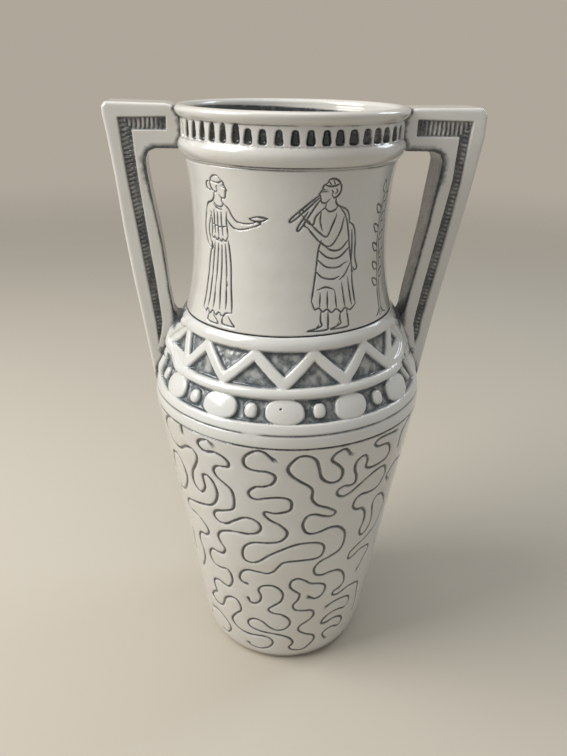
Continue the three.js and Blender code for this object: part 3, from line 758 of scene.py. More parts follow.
# %% How near the straps are
strap_rings = {side: strap_ring(side) for side in (-1, 1)}
strap_edges = {side: Nearest([strap_rings[side]]) for side in (-1, 1)}
FAR_FROM_STRAPS = 99.0
NEAR_X, NEAR_Y, NEAR_Z = 34.0, 24.0, 145.0


def strap_gap(x, y, z):
    """Distance of points outside a strap from that strap, for those near enough to matter."""
    gap = np.full(len(x), FAR_FROM_STRAPS)
    for side in (-1, 1):
        near = (side * x > NEAR_X) & (np.abs(y) < NEAR_Y) & (z > NEAR_Z)
        if not near.any():
            continue
        flat = np.column_stack([side * unsheared(x, y)[near], z[near]])
        beside = strap_edges[side].distance(flat)
        beside[inside_ring(flat, strap_rings[side])] *= -1
        before = np.abs(y[near]) - half_thickness(z[near])
        gap[near] = np.hypot(np.maximum(beside, 0), np.maximum(before, 0))
    return gap


def sheet_strap_gap(points, outline):
    """The same distance for points of a sheet, and their heights."""
    radius, height = outline.at(points[:, 1], 0.0)
    angle = outline.angle(points[:, 0])
    return strap_gap(radius * np.sin(angle), -radius * np.cos(angle), height), height


def swelling(height, side):
    """How far the shoulder swells out against a strap, where slip was smoothed into the joint."""
    return (2.6 - 0.4 * side) * ease(height, 153, 161) * (1 - ease(height, 182, 188))


# %% Pin holes and stained joints
PIN_FLOOR = 0.3
PIN_EDGE = 0.65


def pin_hole(points, middle):
    """1 in a small hole that a bubble left in the glaze and 0 away from it."""
    return 1 - ease(np.hypot(*(points - middle).T), PIN_FLOOR, PIN_EDGE)


def around_pin(middle):
    """Points close enough together to show a pin hole."""
    turns = np.linspace(0, 2 * math.pi, 12, endpoint=False)
    ring = np.column_stack([np.cos(turns), np.sin(turns)])
    return np.vstack([[middle]] + [middle + size * ring for size in (PIN_FLOOR, 0.45, PIN_EDGE, 0.95)])


def joint_stain(points, outline):
    """Stain in the crease round each strap, which spreads in brush streaks at its crotch."""
    gap, height = sheet_strap_gap(points, outline)
    crease = 0.85 * (1 - ease(gap, 0.35, 1.15))
    streaks = 1 + 0.6 * sheet_noise(points * [1.0, 0.18], outline, 1.1, 21)
    crotch = ease(height + 2 * streaks, 180.5, 184) * (1 - ease(height, 190, 194))
    return np.maximum(crease, crotch * (1 - ease(gap, 3.6 * streaks, 6.8 * streaks)))


# %% [markdown]
# ## Foot and body
# The foot is a flat disc with a wiped edge. The body rises almost straight and rounds over at the
# top, where a turned line marks its joint with the shoulder.

# %% Foot
FOOT_PROFILE = [(0, 0), (38.6, 0), (39.7, 0.25), (40.4, 0.9), (40.6, FOOT_LINE), (38.2, FOOT_LINE),
                (38.0, BODY_FOOT), (0, BODY_FOOT + 0.3)]


def spun(profile):
    """A closed body of revolution: the profile is drawn as edges and spun right round."""
    body = bmesh.new()
    layer = body.verts.layers.float.new("stain")
    corners = [body.verts.new((r * MM, 0, z * MM)) for r, z in profile]
    for corner in corners:
        corner[layer] = 0.0
    edges = [body.edges.new(pair) for pair in zip(corners, corners[1:])]
    bmesh.ops.spin(body, geom=corners + edges, cent=(0, 0, 0), axis=(0, 0, 1), angle=2 * math.pi,
                   steps=COLUMNS, use_merge=True)
    bmesh.ops.remove_doubles(body, verts=body.verts, dist=0.00001)
    bmesh.ops.recalc_face_normals(body, faces=body.faces)
    return body


foot = new_piece("foot", spun(FOOT_PROFILE))
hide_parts("foot_base")

# %% Body
BODY_LINE_HALF = 0.78
BODY_LINE_DEPTH = 0.8
BODY_RING_HALF = 0.6
BODY_RING_DEPTH = 0.75
body_lines = wrapped(wandering_lines(body_outline), body_outline.width)
body_nearest = Nearest(body_lines, body_outline.width, ends=1.3)


def body_relief(points):
    """The wandering lines, and the turned line at the joint with the shoulder."""
    half = BODY_LINE_HALF * body_nearest.press(points)
    out, stain = groove(body_nearest.distance(points), half, BODY_LINE_DEPTH)
    from_top = np.abs(body_outline.length - points[:, 1])
    ring_out, ring_stain = groove(from_top, BODY_RING_HALF, BODY_RING_DEPTH)
    return np.minimum(out, ring_out), np.maximum(stain, ring_stain)


body_rows = ring_points(body_outline, [body_outline.length - d for d in (0.35, 0.7, 1.1, 1.6)])
body_points = np.vstack([body_rows, line_points(body_lines, body_outline, 2.2, BODY_LINE_OFFSETS, 0.25)])
body_sheet = turned_sheet(body_outline, thin_out([(body_points, 0.22)]), body_relief)
body = new_piece("body", wall_inside(body_sheet, [
    BODY_INSIDE, (56.8, 120, 0.3), (51.9, 90, 0.3), (47.2, 60, 0.3), (42.6, 30, 0.3),
    (39.6, 12, 0.3), (38.1, 7.2, 0.3), (38.1, FOOT_LINE, 0),
]))
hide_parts("body_wall")

# %% [markdown]
# ## Shoulder
# Three turned rolls hold two carved bands. In the upper one a zigzag strip is left standing, in the
# lower one large and small beads. The ground between them is cut away with a gouge, which leaves it
# rough, and the stain stays thickest in its corners. Towards the handles the middle roll sweeps up
# past a last small triangle of cut ground, and on the right two slanting ridges end the lower band.

# %% Shoulder sizes
PANEL_TURN = -3.8
BEAD_BAND_TURN = -2.0
BEAD_BAND_HALF_ANGLE = 78.0
ZIGZAG_PITCH = 27.9
ZIGZAG_PEAKS = 6
STRIP_WIDTH = 4.6
BEADS = 10
BEAD_PITCH = 28.2
LARGE_BEAD = (7.9, 5.3)
SMALL_BEAD = (2.4, 2.95)
CARVING_DEPTH = 1.8
SWEEP_HALF = 2.2
SWEEP_SWELL = 1.35
SWEEPS = [
    [(-57, 168.2), (-66, 169.4), (-74, 170.8), (-80.5, 173.2), (-81.5, 177), (-77.5, 182), (-72, 186.5)],
    [(48, 168.2), (58, 170.2), (66, 171.6), (72, 174), (73.8, 177.4), (70.5, 182.2), (66.5, 186.5)],
]
END_GROUNDS = [
    [(-57, 176.2), (-66, 174.6), (-78.3, 174.2), (-67.2, 184.0), (-59, 184.6), (-57, 176.2)],
    [(51, 176.8), (62, 176.6), (70.3, 177.6), (62.5, 183.8), (54, 184.6), (51, 176.8)],
]
RIDGES = [[(62.5, 169.4), (64.5, 164.5), (66.8, 160.2)], [(70.0, 170.0), (72.5, 164.5), (74.3, 159.2)]]
RIDGE_HALF = 1.0
bead_low, bead_high = shoulder_outline.up_to(BEAD_FOOT), shoulder_outline.up_to(MIDDLE_ROLL_FOOT)
zigzag_low, zigzag_high = shoulder_outline.up_to(ZIGZAG_FOOT), shoulder_outline.up_to(UPPER_ROLL_FOOT)

# %% Zigzag, beads and their edges
END_LEANS = {0: 8.0, 1: 2.0, 9: -0.5, 10: -3.4}
LAST_CORNER = 2 * (ZIGZAG_PEAKS - 1)
zigzag_lines = []
large_beads = []
small_beads = []
for face in FACES:
    middle = face + PANEL_TURN
    path = []
    for i in range(LAST_CORNER + 1):
        angle = middle + (i - LAST_CORNER / 2) / 2 * ZIGZAG_PITCH
        slip = 0.7 * wobble(i * 3.1 + face, 0, 0, 1.0, 3) + END_LEANS.get(i, 0.0)
        low = zigzag_low + 1.6
        high = zigzag_high + (0.8 if i in (0, LAST_CORNER) else -1.2)
        path.append((shoulder_outline.across(angle + slip), low if i % 2 else high))
    zigzag_lines.append(np.array(path))
    for i in range(BEADS):
        angle = middle + 0.8 + (i / 2 - BEADS / 4) * BEAD_PITCH
        across = shoulder_outline.across(angle + 0.6 * wobble(i * 2.3 + face, 5, 0, 1.0, 4))
        up = (bead_low + bead_high) / 2
        size = 1 + 0.08 * wobble(i * 1.7 + face, 9, 0, 1.0, 5)
        if i % 2:
            large_beads.append((across, up, LARGE_BEAD[0] * size, LARGE_BEAD[1], i + face))
        else:
            small_beads.append((across, up + 0.1, SMALL_BEAD[0] * size, SMALL_BEAD[1] * size, i + face))
beads = large_beads + small_beads
BEAD_CORNERS = 48
BEAD_SQUARENESS = 2.5


def bead_outline(bead):
    """The uneven oval edge of one bead."""
    x, y, half_across, half_up, seed = bead
    ring = []
    for k in range(BEAD_CORNERS):
        turn_by = 2 * math.pi * k / BEAD_CORNERS
        c, s = math.cos(turn_by), math.sin(turn_by)
        uneven = 1 + 0.05 * wobble(c * 1.5, s * 1.5, seed * 3.7, 1.0, 6)
        grow = uneven / (abs(c) ** BEAD_SQUARENESS + abs(s) ** BEAD_SQUARENESS) ** (1 / BEAD_SQUARENESS)
        ring.append((x + half_across * grow * c, y + half_up * grow * s))
    return np.array(ring + ring[:1])


def near_copy(points, x):
    """Points moved round by a whole turn where that brings them nearer to x."""
    moved = points.copy()
    width = shoulder_outline.width
    moved[:, 0] = x + (points[:, 0] - x + width / 2) % width - width / 2
    return moved


sweeps = [soft_curve(shoulder_outline.laid(path, face), 0.6) for path in SWEEPS for face in FACES]
ridges = [soft_curve(shoulder_outline.laid(path, face), 0.6) for path in RIDGES for face in FACES]
end_grounds = [shoulder_outline.laid(path, face) for path in END_GROUNDS for face in FACES]
shoulder_pin = shoulder_outline.laid([(-4.8, 162.3)])[0]
print("shoulder:", len(zigzag_lines), "zigzags,", len(beads), "beads,", len(sweeps), "sweeps")


# %% Places along the bands
def from_middle(points):
    """Degrees round from the middle of the bead band, on the front or at the back."""
    best = np.full(len(points), 1e9)
    for face in FACES:
        middle = shoulder_outline.across(face + BEAD_BAND_TURN)
        best = np.minimum(best, np.abs(near_copy(points, middle)[:, 0] - middle))
    return np.degrees(best / shoulder_outline.mean_radius)


def outside_panel(points):
    """How far round each point lies past the ends of the bead band, in millimetres."""
    return np.radians(from_middle(points) - BEAD_BAND_HALF_ANGLE) * shoulder_outline.mean_radius


def beside_paths(points, paths):
    """Distance to the nearest of some short lines."""
    best = np.full(len(points), 1e9)
    for path in paths:
        best = np.minimum(best, to_segments(near_copy(points, path[:, 0].mean()), path))
    return best


# %% Depth of the carving
def zigzag_ground(points):
    """Distance into the ground that is cut away beside the zigzag, and distance from its strip."""
    up = points[:, 1]
    ground = np.full(len(points), -1e9)
    strip = np.full(len(points), 1e9)
    for path in zigzag_lines:
        moved = near_copy(points, path[:, 0].mean())
        strip = np.minimum(strip, to_segments(moved, path))
        left = np.interp(up, (path[1][1], path[0][1]), (path[1][0], path[0][0]))
        right = np.interp(up, (path[-2][1], path[-1][1]), (path[-2][0], path[-1][0]))
        ground = np.maximum(ground, np.minimum(moved[:, 0] - left, right - moved[:, 0]))
    ground = np.minimum(ground, np.minimum(up - zigzag_low, zigzag_high - up))
    for ring in end_grounds:
        ground = np.maximum(ground, into_ring(near_copy(points, ring[:, 0].mean()), ring))
    return np.minimum(ground, strip - STRIP_WIDTH / 2), strip


def bead_ground(points):
    """Distance into the ground that is cut away between the beads."""
    up = points[:, 1]
    rise = 3.4 * ease(from_middle(points), 60, 74)
    ground = np.minimum(up - bead_low, bead_high + rise - up)
    ground = np.minimum(ground, beside_paths(points, ridges) - RIDGE_HALF)
    for bead in beads:
        moved = near_copy(points, bead[0])
        close = (np.abs(moved[:, 0] - bead[0]) < 11) & (np.abs(up - bead[1]) < 9)
        if close.any():
            ground[close] = np.minimum(ground[close], -into_ring(moved[close], bead_outline(bead)))
    return np.minimum(ground, -outside_panel(points))


def carved_depth(points):
    """Distance into the carved ground, below zero on clay that was left standing, and from the strip."""
    zigzag, strip = zigzag_ground(points)
    band = np.minimum(np.maximum(zigzag, bead_ground(points)), beside_paths(points, sweeps) - SWEEP_HALF)
    uneven = 0.22 * sheet_noise(points, shoulder_outline, 5.0, 7)
    uneven += 0.1 * sheet_noise(points, shoulder_outline, 1.8, 8)
    return band + uneven, strip


# %% Relief of the shoulder
TURNED_LINES = ((LOWER_ROLL_FOOT, 0.55, 0.7), (BODY_TOP, 0.55, 0.75), (NECK_FOOT, 0.3, 0.5))
BEAD_CROWN = 0.55
STRIP_CROWN = 0.25


def crowned(points, into, strip, cut):
    """How far the clay left standing is rounded up, less the middle roll where the sweeps replace it."""
    from_front = from_middle(points)
    strip_crown = STRIP_CROWN * (1 - np.clip(strip / (STRIP_WIDTH / 2), 0, 1) ** 2)
    out = np.where(into < 0.2, strip_crown, 0)
    up_roll = np.clip((points[:, 1] - bead_high) / (zigzag_low - bead_high), 0, 1)
    middle_roll = MIDDLE_ROLL_SWELL * np.sin(math.pi * up_roll) ** ROLL_FULLNESS
    out -= middle_roll * ease(from_front, 58, 68) * (1 - cut)
    sweep = np.clip(1 - (beside_paths(points, sweeps) / (SWEEP_HALF + 0.3)) ** 2, 0, 1)
    out += SWEEP_SWELL * np.sqrt(sweep) * ease(from_front, 54, 66)
    out += 0.5 * np.clip(1 - (beside_paths(points, ridges) / RIDGE_HALF) ** 2, 0, 1)
    bead_crown = np.zeros(len(points))
    for bead in beads:
        moved = near_copy(points, bead[0])
        away = np.hypot((moved[:, 0] - bead[0]) / bead[2], (moved[:, 1] - bead[1]) / bead[3])
        bead_crown = np.maximum(bead_crown, BEAD_CROWN * (1 - np.clip(away, 0, 1) ** 2.2))
    return out + bead_crown


def shoulder_relief(points):
    """Carving, crowns, turned lines and the swelling at the straps, with the stain they hold."""
    into, strip = carved_depth(points)
    up = points[:, 1]
    cut = ease(into, -0.45, 0.95)
    rough = 0.30 * sheet_noise(points, shoulder_outline, 2.6, 9)
    rough += 0.16 * sheet_noise(points, shoulder_outline, 0.9, 10)
    out = -CARVING_DEPTH * cut + rough * ease(into, 0.5, 1.4) + crowned(points, into, strip, cut)
    clouds = ease(sheet_noise(points, shoulder_outline, 3.6, 25), -0.15, 0.4)
    stain = ease(into, -0.1, 0.45) * (1.0 - (0.16 + 0.34 * clouds) * ease(into, 0.6, 2.2))
    broken = ease(noise_round(points, shoulder_outline, 14.0, 11), -0.42, -0.25)
    for height, half, depth in TURNED_LINES:
        share = broken if height == LOWER_ROLL_FOOT else 1.0
        line_out, line_stain = groove(np.abs(up - shoulder_outline.up_to(height)), half, depth)
        out = np.where(line_out * share < -0.02, out + line_out * share, out)
        stain = np.maximum(stain, line_stain * share)
    beyond = ease(outside_panel(points), -0.5, 0.8)
    for level in (bead_low, bead_high, zigzag_low, zigzag_high):
        out -= 0.2 * (1 - ease(np.abs(up - level), 0.1, 0.6)) * beyond
    gap, height = sheet_strap_gap(points, shoulder_outline)
    side = np.sin(shoulder_outline.angle(points[:, 0]))
    out += swelling(height, side) * (1 - ease(gap, 0.0, 9.0))
    pin = pin_hole(points, shoulder_pin)
    stain = np.maximum.reduce([stain, pin, joint_stain(points, shoulder_outline)])
    return out - 0.6 * pin, stain


# %% Shoulder mesh
LEVELS = (BODY_TOP, LOWER_ROLL_FOOT, BEAD_FOOT, MIDDLE_ROLL_FOOT, ZIGZAG_FOOT, UPPER_ROLL_FOOT, NECK_FOOT)


def mitred(path, offset):
    """A bent strip's edge: its middle line moved sideways, with its corners kept sharp."""
    shifted = []
    for i, corner in enumerate(path):
        before = corner - path[max(i - 1, 0)]
        after = path[min(i + 1, len(path) - 1)] - corner
        if i == 0:
            before = after
        if i == len(path) - 1:
            after = before
        before, after = before / np.hypot(*before), after / np.hypot(*after)
        mitre = before + after
        mitre = mitre / np.hypot(*mitre)
        side = np.array([-mitre[1], mitre[0]])
        shifted.append(corner + side * offset / (side @ np.array([-before[1], before[0]])))
    return np.array(shifted)


def carved_edges():
    """Every edge of the carving, as lines on the sheet."""
    lines = [mitred(path, side * STRIP_WIDTH / 2) for path in zigzag_lines for side in (1, -1)]
    lines += [bead_outline(bead) for bead in beads] + end_grounds
    for path, half in [(path, SWEEP_HALF) for path in sweeps] + [(path, RIDGE_HALF) for path in ridges]:
        lines += rows_along(path, (half, -half))
    return wrapped([evenly(line, 0.6) for line in lines], shoulder_outline.width)


def shoulder_points():
    """Points close together at every carved edge and turned line, and loose ones between."""
    width, length = shoulder_outline.width, shoulder_outline.length
    rows = beside_lines(carved_edges(), (0.0, -0.3, 0.3, -0.65, 0.65, 1.05, -1.05))
    rings = []
    for level in LEVELS:
        middle = shoulder_outline.up_to(level)
        rings += [middle + d for d in (-1.3, -0.85, -0.5, -0.22, 0.0, 0.22, 0.5, 0.85, 1.3)]
    rings = [d for d in rings if 0.2 < d < length - 0.2]
    fine = net(width, length, 0.55)
    gap = sheet_strap_gap(fine, shoulder_outline)[0]
    fine = fine[(gap > 0) & (gap < 2.2)]
    ground = net(width, length, 0.85)
    ground = ground[(ground[:, 1] > bead_low - 0.5) & (ground[:, 1] < zigzag_high + 0.5)]
    return thin_out([
        (around_pin(shoulder_pin), 0.12),
        *((row, 0.26) for row in rows),
        (ring_points(shoulder_outline, rings, 0.9), 0.3),
        (fine, 0.35),
        (ground, 0.55),
        (net(width, length, 1.5), 0.9),
    ])


shoulder_sheet = turned_sheet(shoulder_outline, shoulder_points(), shoulder_relief)
shoulder = new_piece("shoulder", wall_inside(shoulder_sheet, [
    NECK_INSIDE, (46.2, 182, 0.5), (50.2, 170, 0.4), (56.4, 157, 0.3), BODY_INSIDE,
]))
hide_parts("shoulder_band")

# %% [markdown]
# ## The drawing on the neck
# Two figures and a sapling stand on the line at the foot of the neck, and the same three stand at the
# back. They are drawn with a fine point in a common classical manner: a robed woman who holds out a
# dish, and a wreathed piper in a cloak. Each stroke is a few points in millimetres, across and up
# from the ground, and its ends are lighter than its middle.

# %% Strokes of the woman
WOMAN = [
    # face, jaw and throat
    [(3.4, 58.9), (4.7, 57.9), (4.9, 56.9), (5.4, 55.9), (6.1, 54.9), (5.3, 54.4), (5.6, 53.8),
     (5.2, 53.3), (5.3, 52.5), (4.4, 51.6), (3.0, 51.8), (1.9, 52.7)],
    [(3.1, 51.6), (3.2, 50.3), (4.0, 49.4)],
    # hair, fillet and knot
    [(3.4, 58.9), (1.8, 60.0), (-0.6, 59.8), (-2.3, 58.2), (-2.7, 56.0), (-1.6, 54.2), (0.2, 53.6),
     (1.2, 54.6)],
    [(4.2, 58.2), (1.6, 57.3), (-1.0, 57.5), (-2.5, 58.0)],
    [(-2.6, 57.0), (-4.3, 57.4), (-5.3, 56.0), (-4.6, 54.4), (-2.9, 54.2)],
    [(3.9, 56.5), (5.0, 56.7)],
    [(3.9, 55.8), (4.7, 55.8)],
    [(1.3, 56.2), (0.6, 55.6), (1.1, 54.8)],
    # back of the neck and far shoulder
    [(-0.9, 53.8), (-1.2, 51.6), (-2.4, 50.0), (-5.4, 48.6), (-6.6, 46.4)],
    # neckline
    [(-2.0, 50.0), (0.2, 48.2), (2.6, 48.2), (4.2, 49.6)],
    [(-1.6, 48.6), (0.4, 47.2), (2.8, 47.2)],
    # near arm stretched forward with a dish
    [(4.2, 49.4), (6.4, 47.8), (8.0, 45.2), (10.4, 43.2), (14.6, 42.8), (17.8, 43.4)],
    [(5.2, 43.8), (7.4, 41.4), (10.4, 40.2), (14.4, 40.8), (17.2, 41.8)],
    [(17.8, 43.4), (19.4, 44.0), (20.6, 43.4), (19.2, 42.4), (17.2, 41.8)],
    [(15.8, 45.0), (18.0, 44.2), (21.4, 44.4), (23.8, 45.6)],
    [(15.8, 45.0), (19.8, 45.9), (23.8, 45.6)],
    # far arm, hanging and holding the dress
    [(-6.6, 46.4), (-7.8, 42.6), (-8.4, 38.0), (-7.6, 34.0), (-6.0, 31.4)],
    [(-4.2, 44.0), (-5.4, 40.2), (-5.8, 37.2), (-4.8, 33.8)],
    [(-6.0, 31.4), (-4.4, 30.6), (-3.6, 31.8), (-4.8, 33.8)],
    # overfold
    [(-3.8, 44.8), (-3.4, 40.0), (-4.0, 36.0)],
    [(5.2, 46.0), (5.0, 42.0), (5.6, 37.0)],
    [(-4.0, 36.0), (-2.8, 34.9), (-2.2, 35.9), (-0.8, 34.4), (0.2, 35.6), (1.6, 34.2), (2.6, 35.5),
     (4.0, 34.6), (5.6, 36.8)],
    [(-1.8, 46.2), (-2.0, 41.5), (-1.6, 37.4)],
    [(0.2, 45.8), (0.0, 40.5), (0.4, 36.8)],
    [(2.4, 46.0), (2.2, 42.0), (2.8, 37.4)],
    [(-3.6, 41.0), (0.6, 40.0), (5.0, 40.8)],
    # skirt
    [(-4.0, 33.6), (-5.4, 26.0), (-6.4, 16.0), (-7.6, 5.6)],
    [(5.6, 35.2), (7.0, 27.0), (7.6, 18.0), (8.8, 6.2)],
    [(-2.2, 33.2), (-3.0, 24.0), (-3.8, 14.0), (-4.6, 6.6)],
    [(0.0, 33.2), (-0.4, 24.0), (-0.8, 17.0)],
    [(-1.0, 14.4), (-1.4, 7.0)],
    [(2.0, 33.0), (2.2, 25.0), (2.0, 13.0), (2.4, 7.0)],
    [(4.0, 33.4), (4.8, 25.0), (5.0, 19.4)],
    [(5.2, 16.4), (5.6, 7.6)],
    [(-7.6, 5.6), (-5.8, 4.2), (-4.6, 5.6), (-3.0, 3.9), (-1.4, 5.4), (0.4, 3.8), (2.2, 5.3), (4.2, 4.0),
     (5.8, 5.6), (8.8, 6.2)],
    # feet
    [(-3.4, 3.8), (-3.8, 1.4), (-2.4, 0.6), (2.2, 0.6), (1.6, 1.8), (-0.6, 3.6)],
    [(4.4, 3.8), (4.4, 1.6), (5.6, 0.8), (10.4, 0.8), (9.4, 2.0), (7.4, 4.2)],
]

# %% Strokes of the piper
PIPER = [
    # face turned to the left
    [(-2.6, 59.2), (-4.0, 58.2), (-4.2, 57.1), (-4.8, 56.0), (-5.5, 55.0), (-4.7, 54.5), (-5.0, 53.9),
     (-4.5, 53.3), (-4.6, 52.6), (-3.6, 51.7), (-2.2, 52.0), (-1.2, 53.0)],
    [(-3.2, 56.7), (-4.3, 56.9)],
    [(-3.3, 56.0), (-4.1, 56.0)],
    # curls and wreath
    [(-2.6, 59.2), (-1.6, 60.6), (0.2, 60.8), (1.6, 60.2), (2.8, 59.0), (3.4, 57.4), (3.2, 55.6),
     (2.2, 54.2), (0.8, 53.6), (-0.2, 54.6)],
    [(-3.4, 58.6), (-1.4, 58.0), (1.0, 58.2), (3.0, 59.0)],
    [(-1.8, 59.6), (-0.9, 58.6)],
    [(0.0, 60.0), (0.6, 58.7)],
    [(1.4, 57.0), (1.9, 56.0), (1.2, 55.2)],
    [(-0.5, 56.4), (0.2, 55.8), (-0.3, 55.1)],
    # neck and shoulders
    [(-2.4, 51.8), (-2.6, 50.2), (-4.2, 48.9)],
    [(1.6, 53.8), (1.8, 51.6), (3.4, 50.2), (6.4, 49.0), (8.2, 46.6), (8.8, 43.0)],
    [(-2.8, 50.0), (-0.8, 48.4), (1.6, 49.0), (2.6, 50.4)],
    # pipes
    [(-5.0, 54.0), (-9.6, 49.8), (-15.4, 44.8), (-16.2, 45.6), (-10.2, 50.9), (-5.2, 54.8)],
    [(-4.8, 53.2), (-8.4, 47.8), (-12.4, 41.6), (-13.4, 42.2), (-9.4, 48.6)],
    # far arm
    [(-4.2, 48.9), (-6.4, 46.4), (-7.2, 43.6), (-9.6, 44.6), (-11.6, 47.2)],
    [(-11.6, 47.2), (-12.8, 48.2), (-12.2, 49.4), (-10.8, 48.8)],
    # near arm
    [(2.4, 46.8), (0.6, 42.4), (-1.4, 38.6), (-4.6, 40.4), (-8.0, 43.6)],
    [(6.0, 46.0), (4.6, 40.4), (1.4, 35.4), (-1.4, 34.8), (-4.4, 36.8), (-7.6, 40.2), (-9.2, 42.2)],
    [(-9.2, 42.2), (-10.6, 43.2), (-10.4, 44.8), (-9.0, 45.0), (-8.0, 43.6)],
    # chest
    [(-4.2, 48.4), (-4.4, 45.0), (-3.4, 41.2)],
    # cloak over the far shoulder, diagonal folds
    [(3.6, 50.0), (6.8, 46.0), (8.4, 40.0), (9.6, 33.0), (11.0, 25.0), (11.4, 17.0), (12.6, 9.4)],
    [(-3.6, 37.2), (-4.6, 33.6), (-5.2, 28.0), (-6.0, 21.0), (-7.2, 12.8)],
    [(-3.6, 36.6), (0.4, 33.2), (5.0, 33.0), (8.8, 36.6)],
    [(-4.6, 33.4), (-0.6, 30.2), (4.4, 29.8), (9.4, 33.4)],
    [(-5.0, 29.6), (-1.0, 26.4), (4.0, 25.8), (7.6, 27.4)],
    [(-5.6, 25.0), (-2.6, 22.2), (1.8, 21.2), (4.8, 22.0)],
    [(5.0, 20.6), (7.6, 22.6), (10.2, 27.0)],
    [(-4.4, 17.4), (-1.2, 18.2), (2.2, 17.0)],
    [(-3.6, 15.4), (-3.8, 10.4)],
    [(-0.6, 15.8), (-0.6, 9.6)],
    [(2.8, 16.0), (3.4, 9.4)],
    [(6.0, 19.0), (6.8, 13.0), (7.4, 8.8)],
    [(9.0, 21.0), (9.8, 14.0), (10.6, 9.4)],
    # hem
    [(-7.2, 12.8), (-5.8, 9.4), (-4.2, 9.9), (-2.6, 8.2), (-0.8, 9.1), (1.2, 7.5), (3.2, 8.8), (5.4, 7.2),
     (7.2, 8.6), (9.6, 7.4), (12.6, 9.4)],
    # hanging end of the cloak
    [(8.4, 44.0), (11.2, 41.4), (12.4, 36.0), (12.6, 29.0), (13.8, 24.6), (12.4, 23.6), (11.6, 25.0)],
    [(10.2, 40.4), (10.8, 34.0), (10.8, 28.4)],
    # legs and feet
    [(-3.4, 8.2), (-3.6, 4.6), (-3.2, 2.6), (-6.0, 1.4), (-8.8, 0.7), (-1.4, 0.7), (-0.6, 2.4),
     (-0.4, 7.8)],
    [(5.0, 7.0), (4.6, 4.4), (5.0, 2.6), (2.6, 1.4), (0.4, 0.7), (7.6, 0.7), (8.4, 2.4), (8.0, 7.6)],
    [(-5.6, 1.5), (-4.4, 2.9)],
    [(2.9, 1.5), (4.0, 2.9)],
]

# %% Strokes of the sapling
STEM = [
    [(-0.8, 0.4), (-0.9, 10.0), (-0.3, 22.0), (-0.9, 34.0), (0.2, 46.0), (1.2, 53.0)],
    [(0.9, 0.4), (0.8, 10.0), (1.3, 22.0), (0.7, 33.0), (1.4, 43.0), (1.6, 50.0)],
    [(-4.4, 0.6), (-2.2, 1.8), (-0.8, 4.2)],
    [(4.6, 0.6), (2.2, 1.6), (0.9, 4.2)],
]
LEAF_ROOTS = [
    (-0.9, 14), (1.0, 17), (-0.6, 21), (1.3, 25), (-0.7, 29), (0.9, 33), (-0.7, 37), (1.0, 41), (0.0, 45),
    (1.5, 49),
]
LEAF_LENGTH = 5.4
LEAF_HALF = 1.3
LEAF_LEANS = (138, 44)


def leaf(x, y, degrees):
    """A pointed leaf, drawn as one closed stroke from its root, leaning over by some degrees."""
    c, s = math.cos(math.radians(degrees)), math.sin(math.radians(degrees))
    stroke = []
    for share, bulge in ((0, 0), (0.3, 1), (0.65, 0.9), (1, 0), (0.65, -0.9), (0.3, -1), (0, 0)):
        stroke.append((
            x + LEAF_LENGTH * share * c - LEAF_HALF * bulge * s,
            y + LEAF_LENGTH * share * s + LEAF_HALF * bulge * c,
        ))
    return stroke


SAPLING = STEM + [leaf(x, y, LEAF_LEANS[i % 2]) for i, (x, y) in enumerate(LEAF_ROOTS)]
SAPLING.append(leaf(1.3, 52.6, 100))

# %% Drawing on the sheet
DRAWING_SCALE = 1.05
DRAWING_GROUND = 192.0
DRAWING_PLACES = ((WOMAN, -45.0), (PIPER, 19.0), (SAPLING, 57.0))


def drawing_lines():
    """All strokes of the drawing, laid on the unrolled neck, on the front and on the back."""
    ground = neck_outline.up_to(DRAWING_GROUND)
    lines = []
    for face in FACES:
        for strokes, angle in DRAWING_PLACES:
            middle = neck_outline.across(angle + face)
            for stroke in strokes:
                flat = [(middle + x * DRAWING_SCALE, ground + y * DRAWING_SCALE) for x, y in stroke]
                lines.append(soft_curve(flat, 0.4))
    return wrapped(lines, neck_outline.width)


neck_lines = drawing_lines()
print("strokes on the neck:", len(neck_lines))

# %% Neck
NECK_LINE_HALF = 0.46
NECK_LINE_DEPTH = 0.42
neck_nearest = Nearest(neck_lines, neck_outline.width, ends=0.5)
neck_pin = neck_outline.laid([(34.1, 216.0)])[0]


def neck_relief(points):
    """The drawing, a pin hole in the glaze, and the turned lines below and above, the upper one darkened as
    painted shade under the collar's roll.
    """
    low_out, low_stain = groove(points[:, 1], 0.3, 0.45)
    # The line at the top, under the collar's roll, is a shallow groove darkened as painted shade, unevenly
    # round the vase.
    high_out, top_line_shade = groove(neck_outline.length - points[:, 1], 0.7, 0.5)
    top_line_shade *= 0.35 + 0.65 * ease(noise_round(points, neck_outline, 22.0, 22), -0.2, 0.1)
    half = NECK_LINE_HALF * neck_nearest.press(points)
    drawn_out, drawn_stain = groove(neck_nearest.distance(points), half, NECK_LINE_DEPTH)
    pin_stain = 0.8 * pin_hole(points, neck_pin)
    crease = joint_stain(points, neck_outline)
    stain = np.maximum.reduce([low_stain, top_line_shade, drawn_stain, pin_stain, crease])
    return np.minimum.reduce([low_out, high_out, drawn_out]), stain


def neck_points():
    """Points close together along the strokes, the turned lines and the straps."""
    rows = [0.3, 0.6, 0.9, 1.3, 1.8]
    rows += [neck_outline.length - d for d in rows]
    fine = net(neck_outline.width, neck_outline.length, 0.6)
    fine = fine[sheet_strap_gap(fine, neck_outline)[0] < 6.0]
    return thin_out([
        (around_pin(neck_pin), 0.12),
        (line_points(neck_lines, neck_outline, 2.0, NECK_LINE_OFFSETS, 0.16), 0.15),
        (ring_points(neck_outline, rows), 0.28),
        (fine, 0.4),
    ])


neck = new_piece("neck", wall_inside(turned_sheet(neck_outline, neck_points(), neck_relief), [
    COLLAR_INSIDE, (41.0, 249, 0.9), (40.1, 236, 0.8), (39.9, 222, 0.7), (41.0, 208, 0.6), NECK_INSIDE,
]))
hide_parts("neck_wall")

# %% [markdown]
# ## Collar
# A roll, a sunk band with a row of slots pressed into it, and a rounded lip. The slots were pressed
# one by one and stand unevenly. The row at the back repeats the row at the front.

